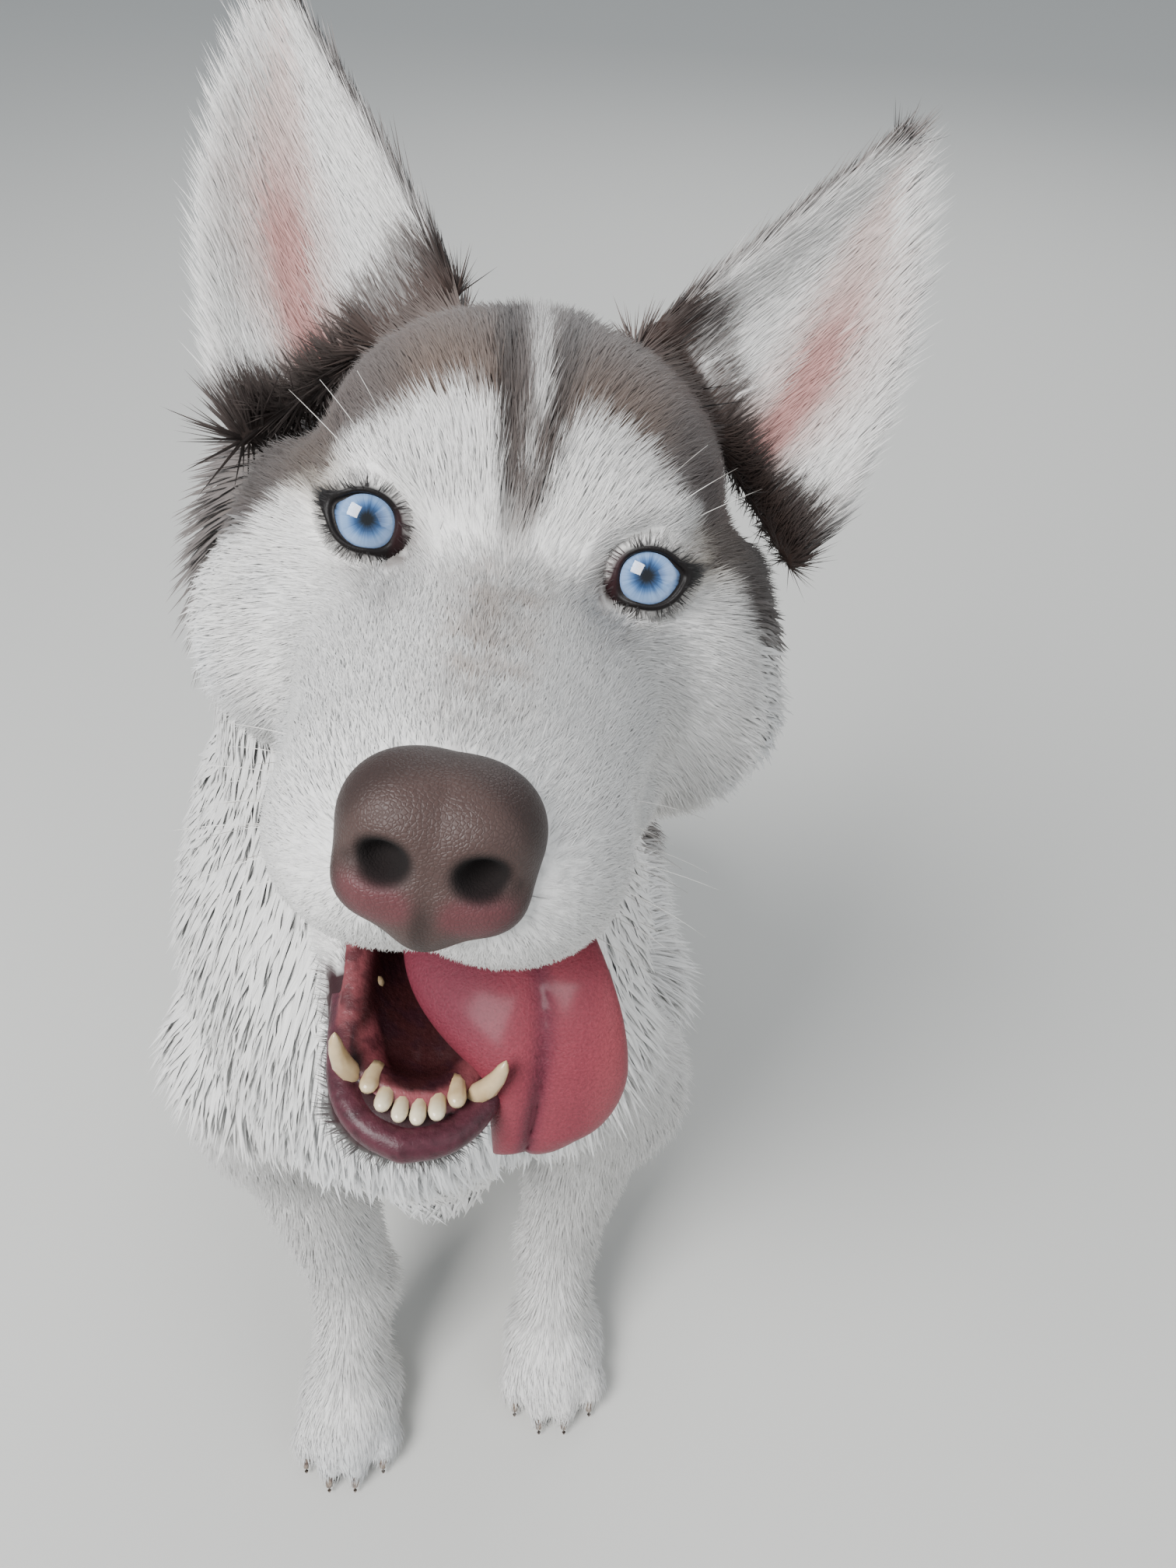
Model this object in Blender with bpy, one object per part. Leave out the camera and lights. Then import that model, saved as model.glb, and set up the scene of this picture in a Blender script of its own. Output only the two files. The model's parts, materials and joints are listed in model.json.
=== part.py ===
"""A siberian husky, life size, sitting on the floor with its head up and its mouth open.

The dog faces -Y and its left side is +X. Its outline includes the coat, out to the tips of the hairs.
The body is one smooth form: rounded masses for bone, muscle and coat, each a named size and place,
blended where they meet and meshed on an even grid. Thin cuts then part that form into its named pieces.
The body's masses are in metres from a point on the floor between the front toes. The head's are in
millimetres from a point midway between the eyes, with y running back and z up.
"""

import math

import bmesh
import bpy
import numpy as np
import openvdb
from mathutils import Euler, Matrix, Vector

NAME = "siberian_husky"

# The frame: the toe line lies in front of the origin, so that the dog's box is centred over it
TOE_LINE = Vector((0.0, -0.267, 0.0))
CUT = 0.0004
VOXEL = 0.0032
FINE_VOXEL = 0.0016
BLOCK = 4
WHOLE_SHARE = 0.0145

# The trunk leans this far to the dog's left over its front feet
LEAN = 0.006

# The head's place from the toe line, and how it is raised, tilted and turned
HEAD_AT = Vector((0.0606, -0.010, 0.6244))
HEAD_TURN = Euler([math.radians(angle) for angle in (-21.5, 11.0, -3.7)], "XYZ")
MM = 0.001

# The eye: a ball set in the head on each side
EYE_AT = (33.5, 9.5, -0.4)
EYE_RADIUS = 11.5
CORNEA_RISE = 0.06
SOCKET_GAP = 1.0

# The tongue: its middle line out of the mouth, over the left side of the jaw and down
TONGUE = ((6, 14, -84), (14, -16, -87), (24, -40, -92), (33, -49, -104), (36, -46, -118), (35, -41, -131))
TONGUE_HALF_WIDTHS = (16, 21, 22, 18, 15, 10)
TONGUE_HALF_THICKNESS = 3.6

# The legs: joint places on each side, with the left front foot set a little further back
FRONT_LEGS = {
    "right": {"side": -1, "elbow": (0.077, 0.088, 0.248), "wrist": (0.058, 0.064, 0.088),
              "paw": (0.0635, 0.018, 0.020)},
    "left": {"side": 1, "elbow": (0.084, 0.096, 0.248), "wrist": (0.061, 0.092, 0.088),
             "paw": (0.0570, 0.049, 0.020)},
}
HIP = (0.062, 0.350, 0.135)
STIFLE = (0.092, 0.226, 0.150)
HOCK = (0.100, 0.385, 0.028)
HIND_PAW = (0.094, 0.242, 0.019)
PAW_SIZE = (0.031, 0.041, 0.023)
TOE_RADIUS = 0.0125
TOE_STEP = 0.0150
CLAWS = ((-1.5, 0.010), (-0.5, 0.0), (0.5, 0.0), (1.5, 0.010))
THIGH_BALL = (0.206, 0.288, 0.060)
THIGH_BALL_RADII = (0.164, 0.215, 0.200)

# The tail lies on the floor behind and sweeps to the dog's right
TAIL = ((0.0, 0.425, 0.084), (-0.006, 0.490, 0.052), (-0.034, 0.556, 0.046), (-0.084, 0.610, 0.040),
        (-0.149, 0.640, 0.017))
TAIL_RADII = (0.044, 0.050, 0.052, 0.044, 0.018)

COLOURS = {
    "white_fur": ("E9E7E4", 0.9),
    "brown_fur": ("7A6659", 0.9),
    "ear_skin": ("D9B4B0", 0.8),
    "nose_leather": ("6E5250", 0.4),
    "tongue_flesh": ("B4505C", 0.4),
    "mouth_skin": ("7C4048", 0.45),
    "eye_blue": ("8FB2DA", 0.05),
}


def linear(hex_colour):
    """An sRGB hex colour as linear RGBA."""
    channels = [int(hex_colour[i:i + 2], 16) / 255 for i in (0, 2, 4)]
    return [c / 12.92 if c <= 0.04045 else ((c + 0.055) / 1.055) ** 2.4 for c in channels] + [1.0]


def material(name):
    """The Principled material of that name, made once."""
    if name in bpy.data.materials:
        return bpy.data.materials[name]
    made = bpy.data.materials.new(name)
    made.use_nodes = True
    colour, roughness = COLOURS[name]
    shader = made.node_tree.nodes["Principled BSDF"]
    shader.inputs["Base Color"].default_value = linear(colour)
    shader.inputs["Roughness"].default_value = roughness
    shader.inputs["Metallic"].default_value = 0.0
    return made


# Distances to rounded masses

def size(vectors):
    return np.sqrt(np.einsum("ij,ij->i", vectors, vectors))


def limb(points, start, end, r_start, r_end, wide=1.0):
    """Distance to a bar with round ends whose radius changes evenly, made wide times as broad in x."""
    start, end = np.array(start, np.float32), np.array(end, np.float32)
    axis = end - start
    along = np.clip((points - start) @ axis / (axis @ axis), 0, 1)
    off = points - start - along[:, None] * axis
    off[:, 0] /= wide
    return size(off) - (r_start + (r_end - r_start) * along)


def egg(points, centre, radii):
    """Near distance to an ellipsoid."""
    radii = np.array(radii, np.float32)
    scaled = (points - np.array(centre, np.float32)) / radii
    inner = size(scaled)
    return inner * (inner - 1) / np.maximum(size(scaled / radii), 1e-9)


def plane(points, place, normal):
    """Signed distance to a plane, outside where the normal points."""
    normal = np.array(Vector(normal).normalized(), np.float32)
    return (points - np.array(place, np.float32)) @ normal


def blend(one, other, width):
    """The union of two distances, filleted over that width."""
    share = np.clip(0.5 + 0.5 * (other - one) / width, 0, 1)
    return other + (one - other) * share - width * share * (1 - share)


def carve(body, tool, width):
    """The body less the tool, with the edge rounded over that width."""
    return -blend(-body, tool, width)


def mirrored(points):
    """The points folded onto the left side."""
    folded = points.copy()
    folded[:, 0] = np.abs(folded[:, 0])
    return folded


def ribbon(points, route, half_widths, half_thickness):
    """Distance to a flat band with round edges, level in x, that follows a route."""
    form = None
    stations = list(zip(route, half_widths))
    for (start, wide_start), (end, wide_end) in zip(stations, stations[1:]):
        start, end = np.array(start, np.float32), np.array(end, np.float32)
        axis = end - start
        fall = axis * np.array((0, 1, 1), np.float32)
        along = np.clip((points - start) @ fall / (fall @ fall), 0, 1)
        off = points - start - along[:, None] * axis
        half = wide_start + (wide_end - wide_start) * along - half_thickness
        off[:, 0] = np.maximum(np.abs(off[:, 0]) - half, 0)
        piece = size(off) - half_thickness
        form = piece if form is None else blend(form, piece, 2)
    return form


# The head, in its own frame in millimetres

def ear(folded):
    """One ear: a plate with a straight inner edge and a bowed outer one, cupped to the front."""
    flat = folded * np.array((1, 0, 1), np.float32)
    inner = plane(flat, (30, 0, 61), (-0.74, 0, 0.67))
    outer = size(flat - np.array((-62, 0, 52), np.float32)) - 157
    bottom = plane(flat, (30, 0, 44), (-0.70, 0, -0.71))
    rise = np.clip((folded[:, 2] - 10) / 100, 0, 1)
    gap = np.maximum(-inner, 0) + np.maximum(-outer, 0) + 1
    bowl = 4 * np.maximum(-inner, 0) * np.maximum(-outer, 0) / gap ** 2
    middle = 74 + 15 * bowl * (1 - 0.75 * rise) + 4 * rise
    plate = np.abs(folded[:, 1] - middle) - (5.6 - 2.2 * rise)
    edge = -blend(-inner, -outer, 7)
    edge = np.maximum(edge, bottom)
    return -blend(-plate, -edge, 4.0)


def skull(folded):
    """The upper head without the ears."""
    form = egg(folded, (0, 62, 8), (57, 60, 47))
    form = blend(form, egg(folded, (0, 36, 4), (45, 36, 29)), 20)
    form = blend(form, egg(folded, (25, 11, 12), (17, 13, 8)), 12)
    form = blend(form, limb(folded, (45, 26, -14), (55, 62, -10), 17, 20), 16)
    form = blend(form, egg(folded, (46, 48, -40), (38, 48, 34)), 26)
    form = blend(form, egg(folded, (40, 80, -50), (38, 34, 42)), 24)
    form = blend(form, limb(folded, (0, 6, -34), (0, -66, -38), 33, 24, 1.06), 18)
    form = blend(form, limb(folded, (28, 16, -29), (14, -62, -36), 20, 17), 16)
    form = blend(form, limb(folded, (0, 10, -23), (0, -86, -28.5), 22, 13), 12)
    form = blend(form, egg(folded, (13, -72, -42), (19, 24, 18)), 12)
    form = blend(form, limb(folded, (20, -64, -49), (34, -4, -56), 10, 12), 14)
    return form


def eye_hollow(folded):
    """The shallow hollow of the face that the eye sits in."""
    return egg(folded, (32, -10, 0), (11, 8, 6))


def lower_jaw(folded):
    """The open lower jaw, with its lips."""
    form = limb(folded, (29, 18, -76), (10.5, -42, -115.5), 13, 9.5)
    form = blend(form, egg(folded, (0, -50, -120), (18.5, 14, 11)), 8)
    return blend(form, limb(folded, (0, 26, -94), (0, -34, -119), 20, 12), 10)


def mouth_hollow(folded):
    """The open mouth: the wedge between the jaws and the trough of the tongue's bed."""
    wedge = limb(folded, (0, 8, -72), (0, -92, -90), 8, 22, 1.7)
    trough = limb(folded, (0, 12, -77), (0, -44, -103), 11, 8, 1.45)
    return blend(wedge, trough, 4)


def head(points):
    """The whole head but the nose, the tongue and the eyeballs."""
    folded = mirrored(points)
    form = skull(folded)
    form = carve(form, eye_hollow(folded), 6)
    form = blend(form, lower_jaw(folded), 12)
    form = blend(form, limb(folded, (0, 44, -86), (0, 84, -62), 32, 46, 1.15), 22)
    form = carve(form, mouth_hollow(folded), 4)
    return blend(form, ear(folded), 9)


def nose(points):
    """The nose leather: a rounded block with two wings, cut by the nostrils."""
    folded = mirrored(points)
    form = egg(folded, (0, -94, -31.5), (18.0, 12, 16))
    form = blend(form, egg(folded, (9.5, -99, -33.5), (9.0, 7, 12)), 5)
    form = carve(form, egg(folded, (9.0, -107, -34.5), (4.0, 6, 4.0)), 2)
    return carve(form, limb(folded, (12.0, -104, -36.5), (17.5, -99, -39.5), 1.6, 1.2), 2)


def tongue(points):
    """The tongue, out over the left lower teeth and hanging down, grooved along its middle."""
    form = ribbon(points, TONGUE, TONGUE_HALF_WIDTHS, TONGUE_HALF_THICKNESS)
    groove = [(x + 1, y - TONGUE_HALF_THICKNESS - 1.2, z) for x, y, z in TONGUE[2:]]
    for start, end in zip(groove, groove[1:]):
        form = carve(form, limb(points, start, end, 1.6, 1.6), 2.5)
    return form


# The body, in metres from the toe line

def paw(points, side, centre):
    """A paw: a low rounded mass with four toes."""
    x, y, z = side * centre[0], centre[1], centre[2]
    form = egg(points, (x, y + 0.006, z), PAW_SIZE)
    for step, reach in CLAWS:
        toe = (x + step * TOE_STEP, y - PAW_SIZE[1] + reach + TOE_RADIUS + 0.004, 0.0115)
        form = blend(form, egg(points, toe, (0.0110, 0.0160, TOE_RADIUS + 0.0020)), 0.006)
    return form


def front_leg(points, leg):
    """A front leg from the shoulder down to the paw."""
    side = leg["side"]
    elbow, wrist, foot = ((side * p[0], p[1], p[2]) for p in (leg["elbow"], leg["wrist"], leg["paw"]))
    form = limb(points, (side * 0.056 + LEAN, 0.040, 0.365), elbow, 0.043, 0.046)
    form = blend(form, limb(points, elbow, wrist, 0.039, 0.0250), 0.020)
    form = blend(form, limb(points, wrist, (foot[0], foot[1] + 0.016, 0.036), 0.0250, 0.0240), 0.012)
    return blend(form, paw(points, side, leg["paw"]), 0.012)


def hind_leg(folded):
    """A folded hind leg, its foot flat on the floor."""
    form = limb(folded, HIP, STIFLE, 0.082, 0.052, 0.78)
    form = blend(form, limb(folded, STIFLE, HOCK, 0.042, 0.028), 0.030)
    form = blend(form, limb(folded, HOCK, (HIND_PAW[0], HIND_PAW[1] + 0.030, 0.023), 0.0275, 0.0245), 0.012)
    return blend(form, paw(folded, 1, HIND_PAW), 0.012)


def tail(points):
    """The bushy tail, laid on the floor."""
    form = None
    for start, end, r_start, r_end in zip(TAIL, TAIL[1:], TAIL_RADII, TAIL_RADII[1:]):
        piece = limb(points, start, end, r_start, r_end, 1.05)
        form = piece if form is None else blend(form, piece, 0.004)
    return form


def trunk(folded):
    """Chest, back, belly and rump, with the coat."""
    form = limb(folded, (0, 0.090, 0.380), (0, 0.190, 0.285), 0.104, 0.116, 0.90)
    form = blend(form, limb(folded, (0, 0.034, 0.385), (0, 0.046, 0.286), 0.064, 0.050), 0.050)
    form = blend(form, limb(folded, (0.038, 0.118, 0.440), (0.052, 0.064, 0.360), 0.050, 0.046), 0.040)
    form = blend(form, limb(folded, (0, 0.190, 0.285), (0, 0.315, 0.170), 0.114, 0.104, 0.92), 0.040)
    return blend(form, limb(folded, (0, 0.315, 0.170), (0, 0.378, 0.086), 0.104, 0.092), 0.040)


def neck(points):
    """The neck with its ruff, leaning to the left with the head."""
    form = limb(points, (0.012, 0.085, 0.425), (0.027, 0.100, 0.540), 0.090, 0.090)
    return blend(form, limb(points, (0.020, 0.040, 0.440), (0.044, 0.056, 0.520), 0.064, 0.058), 0.040)


def to_head(points):
    """Points from the toe line's frame to the head's millimetres."""
    return (points - np.array(HEAD_AT, np.float32)) @ np.array(HEAD_TURN.to_matrix(), np.float32) / MM


def husky(world):
    """Distance in metres to the dog's outline, at points of the world frame."""
    points = (world - np.array(TOE_LINE, np.float32)).astype(np.float32)
    folded = mirrored(points - np.array((LEAN, 0, 0), np.float32))
    form = trunk(folded)
    form = blend(form, hind_leg(folded), 0.036)
    for leg in FRONT_LEGS.values():
        form = blend(form, front_leg(points, leg), 0.022)
    form = blend(form, tail(points), 0.025)
    form = blend(form, neck(points), 0.045)
    local = to_head(points)
    near = egg(local, (0, 30, -10), (190, 230, 210)) < 0
    upper = np.full(len(points), 0.1, np.float32)
    upper[near] = head(local[near]) * MM
    return blend(form, upper, 0.030)


# From a distance to a mesh

def meshed(field, low, high, voxel):
    """The surface where the field is zero, as points and quads, sampled finely only near it."""
    low, high = np.array(low, float), np.array(high, float)
    blocks = np.ceil((high - low) / (voxel * BLOCK)).astype(int)
    corner = np.stack(np.meshgrid(*[np.arange(n) for n in blocks], indexing="ij"), -1).reshape(-1, 3) * BLOCK
    distance = field(low + (corner + BLOCK / 2) * voxel)
    near = np.abs(distance) < voxel * 1.5 * BLOCK
    grid = np.where(distance < 0, -1.0, 1.0).reshape(blocks)
    for direction in range(3):
        grid = np.repeat(grid, BLOCK, direction)
    values = grid.astype(np.float32) * voxel * 3
    offset = np.stack(np.meshgrid(*[np.arange(BLOCK)] * 3, indexing="ij"), -1).reshape(-1, 3)
    cells = (corner[near][:, None] + offset[None]).reshape(-1, 3)
    fine = field(low + (cells + 0.5) * voxel)
    values[cells[:, 0], cells[:, 1], cells[:, 2]] = fine
    volume = openvdb.FloatGrid(background=float(voxel * 3))
    volume.copyFromArray(values)
    points, quads = volume.convertToQuads(isovalue=0.0)
    return low + (points + 0.5) * voxel, quads


def add_object(name, points, faces, collection):
    """A mesh object from points and faces, with its faces pointing out."""
    mesh = bpy.data.meshes.new(name)
    mesh.from_pydata([tuple(p) for p in points], [], [tuple(int(i) for i in f) for f in faces])
    shape = bmesh.new()
    shape.from_mesh(mesh)
    bmesh.ops.recalc_face_normals(shape, faces=shape.faces)
    shape.to_mesh(mesh)
    shape.free()
    return link_mesh(name, mesh, collection)


def link_mesh(name, mesh, collection, guide=False):
    made = bpy.data.objects.new(name, mesh)
    made.hide_render = guide
    made.display_type = "WIRE" if guide else "TEXTURED"
    collection.objects.link(made)
    return made


def finished(mesh, name, collection, guide=False):
    """A bmesh made into an object."""
    data = bpy.data.meshes.new(name)
    mesh.to_mesh(data)
    mesh.free()
    return link_mesh(name, data, collection, guide)


def in_head(place):
    """A place in the head's millimetres as a world point."""
    return TOE_LINE + HEAD_AT + HEAD_TURN.to_matrix() @ (Vector(place) * MM)


def in_body(place, side=1):
    """A place from the toe line, on that side of the middle, as a world point."""
    return TOE_LINE + Vector((side * place[0], place[1], place[2]))


def in_lean(place, side):
    """The same for the trunk and the hind legs, which lean to the left."""
    return in_body(place, side) + Vector((LEAN, 0, 0))


def apply_modifiers(obj):
    """The object's evaluated mesh in place of its own, with no modifiers left."""
    mesh = bpy.data.meshes.new_from_object(obj.evaluated_get(bpy.context.evaluated_depsgraph_get()))
    obj.modifiers.clear()
    obj.data = mesh


def thinned(obj, ratio):
    """The object's mesh with that share of its triangles, kept where the form bends most."""
    decimate = obj.modifiers.new("thin", "DECIMATE")
    decimate.ratio = ratio
    apply_modifiers(obj)


def combine(obj, tool, operation):
    """The object joined with, cut by or kept within the tool's shape."""
    boolean = obj.modifiers.new(operation.lower(), "BOOLEAN")
    boolean.operation = operation
    boolean.solver = "EXACT"
    boolean.object = tool
    apply_modifiers(obj)


def slab(centre, normal, length, width, collection, thick=CUT):
    """A thin box cutter square to normal, length along x and width along the way between."""
    z_axis = Vector(normal).normalized()
    x_axis = (Vector((1, 0, 0)) - z_axis * z_axis.x).normalized()
    turn = Matrix((x_axis, z_axis.cross(x_axis), z_axis)).transposed().to_4x4()
    mesh = bmesh.new()
    place = Matrix.Translation(centre) @ turn @ Matrix.Diagonal((length, width, thick, 1))
    bmesh.ops.create_cube(mesh, size=1.0, matrix=place)
    return finished(mesh, "slab", collection, guide=True)


def ball(centre, radii, collection, name="ball"):
    """An ellipsoid cutter."""
    mesh = bmesh.new()
    place = Matrix.Translation(centre) @ Matrix.Diagonal((*radii, 1))
    bmesh.ops.create_uvsphere(mesh, u_segments=16, v_segments=12, radius=1.0, matrix=place)
    return finished(mesh, name, collection, guide=True)


def loose_pieces(obj, collection):
    """The object's separate bodies, each as an object; the object itself is removed."""
    shape = bmesh.new()
    shape.from_mesh(obj.data)
    shape.verts.ensure_lookup_table()
    seen = set()
    pieces = []
    for first in shape.verts:
        if first in seen:
            continue
        seen.add(first)
        group, waiting = [], [first]
        while waiting:
            vert = waiting.pop()
            group.append(vert)
            for edge in vert.link_edges:
                other = edge.other_vert(vert)
                if other not in seen:
                    seen.add(other)
                    waiting.append(other)
        number = {vert: i for i, vert in enumerate(group)}
        faces = sorted({face for vert in group for face in vert.link_faces}, key=lambda face: face.index)
        pieces.append(add_object("piece", [vert.co for vert in group],
                                 [[number[vert] for vert in face.verts] for face in faces], collection))
    shape.free()
    bpy.data.objects.remove(obj)
    return pieces


def centre_of(obj):
    """The middle of the object's box."""
    points = np.array([vert.co for vert in obj.data.vertices])
    return Vector((points.min(0) + points.max(0)) / 2)


def part_off(obj, cutter, name, place, collection):
    """Cuts the object in two: the piece nearest the place, which gets the name, and the other."""
    combine(obj, cutter, "DIFFERENCE")
    pieces = loose_pieces(obj, collection)
    pieces.sort(key=lambda piece: (centre_of(piece) - place).length)
    pieces[0].name = name
    rest = max(pieces[1:], key=lambda piece: len(piece.data.vertices))
    for piece in pieces[1:]:
        if piece is not rest:
            bpy.data.objects.remove(piece)
    return pieces[0], rest


def form_of(field, low, high, voxel, name, collection, guide=False):
    """An object from a distance field."""
    made = add_object(name, *meshed(field, low, high, voxel), collection)
    made.hide_render = guide
    made.display_type = "WIRE" if guide else "TEXTURED"
    return made


def head_field(shape, grow=0.0):
    """A field in the head's millimetres as one in world metres, grown by a margin in metres."""
    return lambda world: shape(to_head((world - np.array(TOE_LINE)).astype(np.float32))) * MM - grow


def make_tooth(base, tip, radius, collection):
    """A tooth: a cone with a rounded tip, from its root in the gum."""
    start, end = in_head(base), in_head(tip)
    mesh = bmesh.new()
    turn = (end - start).to_track_quat("Z", "Y").to_matrix().to_4x4()
    place = Matrix.Translation((start + end) / 2) @ turn
    bmesh.ops.create_cone(mesh, cap_ends=True, segments=8, radius1=radius * MM, radius2=radius * MM * 0.35,
                          depth=(end - start).length, matrix=place)
    return finished(mesh, "tooth", collection, guide=True)


def make_claw(foot, step, reach, collection):
    """A claw at the front of one toe of the paw at foot, a world point."""
    tip = Vector((foot.x + step * TOE_STEP, foot.y - PAW_SIZE[1] + reach, 0))
    start, end = tip + Vector((0, 0.009, 0.013)), tip + Vector((0, -0.003, 0.0052))
    mesh = bmesh.new()
    turn = (end - start).to_track_quat("Z", "Y").to_matrix().to_4x4()
    bmesh.ops.create_cone(mesh, cap_ends=True, segments=6, radius1=0.0030, radius2=0.0012,
                          depth=(end - start).length, matrix=Matrix.Translation((start + end) / 2) @ turn)
    return finished(mesh, "claw", collection, guide=True)


def make_eye(name, side, collection):
    """An eyeball whose front bulges as the cornea."""
    mesh = bmesh.new()
    bmesh.ops.create_uvsphere(mesh, u_segments=16, v_segments=12, radius=EYE_RADIUS * MM)
    forward = (HEAD_TURN.to_matrix() @ Vector((side * -0.12, -1, 0.19))).normalized()
    mesh.transform(forward.to_track_quat("Z", "Y").to_matrix().to_4x4())
    for vert in mesh.verts:
        facing = vert.co.normalized().dot(forward)
        vert.co *= 1 + CORNEA_RISE * max(0.0, (facing - 0.78) / 0.22) ** 0.7
    centre = in_head((side * EYE_AT[0], EYE_AT[1], EYE_AT[2]))
    mesh.transform(Matrix.Translation(centre))
    return finished(mesh, name, collection)


def coloured(obj, material_name):
    obj.data.materials.clear()
    obj.data.materials.append(material(material_name))
    obj.data.shade_smooth()


def main():
    for old in list(bpy.data.objects):
        bpy.data.objects.remove(old)
    parts = bpy.data.collections.new(NAME)
    cutters = bpy.data.collections.new("cutters")
    for collection in (parts, cutters):
        bpy.context.scene.collection.children.link(collection)

    whole = form_of(husky, TOE_LINE + Vector((-0.19, -0.17, -0.02)), TOE_LINE + Vector((0.21, 0.75, 0.80)),
                    VOXEL, "whole", parts)
    thinned(whole, WHOLE_SHARE)
    floor = slab(Vector((0, 0, -0.1)), (0, 0, 1), 2, 2, cutters, thick=0.2)
    combine(whole, floor, "DIFFERENCE")

    # The eyes, the nose and the tongue sit in hollows a little larger than they are
    for name, side in (("eye_left", 1), ("eye_right", -1)):
        coloured(make_eye(name, side, parts), "eye_blue")
        socket = (EYE_RADIUS + SOCKET_GAP) * MM
        place = in_head((side * EYE_AT[0], EYE_AT[1], EYE_AT[2]))
        combine(whole, ball(place, [socket] * 3, cutters), "DIFFERENCE")
    for name, shape, share, look in (("nose", nose, 0.09, "nose_leather"),
                                     ("tongue", tongue, 0.05, "tongue_flesh")):
        low, high = in_head((0, -60, -70)) - Vector([0.1] * 3), in_head((0, -60, -70)) + Vector([0.1] * 3)
        solid = form_of(head_field(shape), low, high, FINE_VOXEL, name, parts)
        thinned(solid, share)
        coloured(solid, look)
        hollow = form_of(head_field(shape, 2.5 * CUT), low, high, FINE_VOXEL, name + "_hollow", cutters,
                         guide=True)
        thinned(hollow, share)
        combine(whole, hollow, "DIFFERENCE")

    # The head comes off the neck, then the jaw and the ears off the head
    turn = HEAD_TURN.to_matrix()
    nape = slab(in_head((0, 66, -52)), turn @ Vector((0, -0.87, 0.49)), 0.40, 0.30, cutters)
    upper, lower = part_off(whole, nape, "head", in_head((0, 0, -20)), parts)
    lips = slab(in_head((0, 30, -78)), turn @ Vector((0, 0.20, 0.98)), 0.20, 0.105, cutters)
    jaw, upper = part_off(upper, lips, "jaw", in_head((0, 0, -105)), parts)
    for name, side in (("ear_left", 1), ("ear_right", -1)):
        foot = in_head((side * 64, 76, 26))
        cut = slab(foot, turn @ Vector((side * 0.70, 0, 0.71)), 0.125, 0.09, cutters)
        ear_piece, upper = part_off(upper, cut, name, in_head((side * 80, 78, 70)), parts)
        coloured(ear_piece, "white_fur")
    upper.name = "head"
    coloured(upper, "white_fur")

    for side in (1, -1):
        combine(jaw, make_tooth((side * 12.5, -52, -117), (side * 18.2, -56.5, -97.5), 3.0, cutters), "UNION")
        for step in range(3):
            x = side * (2.1 + 4.0 * step)
            tooth = make_tooth((x, -57 + step * 1.2, -117), (x * 1.08, -61 + step * 1.6, -110), 2.0, cutters)
            combine(jaw, tooth, "UNION")
    combine(jaw, bpy.data.objects["tongue_hollow"], "DIFFERENCE")
    coloured(jaw, "mouth_skin")

    # The trunk gives up the neck, the tail and the legs
    collar = slab(in_body((0.012, 0.070, 0.452)), (0, -0.38, 0.92), 0.40, 0.36, cutters)
    neck_piece, lower = part_off(lower, collar, "neck", in_body((0.03, 0.08, 0.53)), parts)
    coloured(neck_piece, "white_fur")
    dock = slab(in_body((0, 0.468, 0.060)), (0, 0.86, -0.5), 0.18, 0.16, cutters)
    tail_piece, lower = part_off(lower, dock, "tail", in_body((-0.08, 0.57, 0.04)), parts)
    coloured(tail_piece, "white_fur")
    for name, leg in FRONT_LEGS.items():
        top = in_body(leg["elbow"], leg["side"]) + Vector((-leg["side"] * 0.009, -0.010, -0.086))
        cut = slab(top, (0, 0.2, 0.98), 0.10, 0.095, cutters)
        leg_piece, lower = part_off(lower, cut, "front_leg_" + name, top - Vector((0, 0.02, 0.09)), parts)
        ankle = in_body((leg["paw"][0], leg["paw"][1] + 0.030, 0.066), leg["side"])
        cut = slab(ankle, (0, -0.25, 0.97), 0.10, 0.11, cutters)
        below = ankle - Vector((0, 0, 0.04))
        paw_piece, leg_piece = part_off(leg_piece, cut, "front_paw_" + name, below, parts)
        leg_piece.name = "front_leg_" + name
        for step, reach in CLAWS:
            combine(paw_piece, make_claw(in_body(leg["paw"], leg["side"]), step, reach, cutters), "UNION")
        coloured(leg_piece, "white_fur")
        coloured(paw_piece, "white_fur")
    for name, side in (("left", 1), ("right", -1)):
        thigh_place, thigh_radii = in_lean(THIGH_BALL, side), Vector(THIGH_BALL_RADII)
        leg_piece = lower.copy()
        leg_piece.data = lower.data.copy()
        leg_piece.name = "hind_leg_" + name
        parts.objects.link(leg_piece)
        combine(leg_piece, ball(thigh_place, thigh_radii, cutters), "INTERSECT")
        combine(lower, ball(thigh_place, thigh_radii + Vector([CUT] * 3), cutters), "DIFFERENCE")
        ankle = in_lean((HIND_PAW[0], HIND_PAW[1] + 0.032, 0.026), side)
        cut = slab(ankle, (0, 0.99, 0.10), 0.10, 0.070, cutters)
        foot_piece, leg_piece = part_off(leg_piece, cut, "hind_foot_" + name, in_lean(HIND_PAW, side), parts)
        leg_piece.name = "hind_leg_" + name
        for step, reach in CLAWS:
            combine(foot_piece, make_claw(in_lean(HIND_PAW, side), step, reach, cutters), "UNION")
        coloured(leg_piece, "white_fur")
        coloured(foot_piece, "white_fur")
    flank = slab(in_body((0, 0.245, 0.26)), (0, 0.72, -0.69), 0.40, 0.36, cutters)
    chest, rump = part_off(lower, flank, "chest", in_body((0, 0.10, 0.36)), parts)
    rump.name = "rump"
    coloured(chest, "white_fur")
    coloured(rump, "brown_fur")


main()
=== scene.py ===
# %% [markdown]
# # A sitting siberian husky, life size
# This lesson dresses a plain solid model of a husky with skin, eyes, a nose, a mouth and a coat.
# The solid model comes in as a fixed frame. Every piece made here rides on it, and some take the place of its
# solids, which are hidden; so the first step loads the frame.

# %% Load the frame
import json
import math

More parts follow.
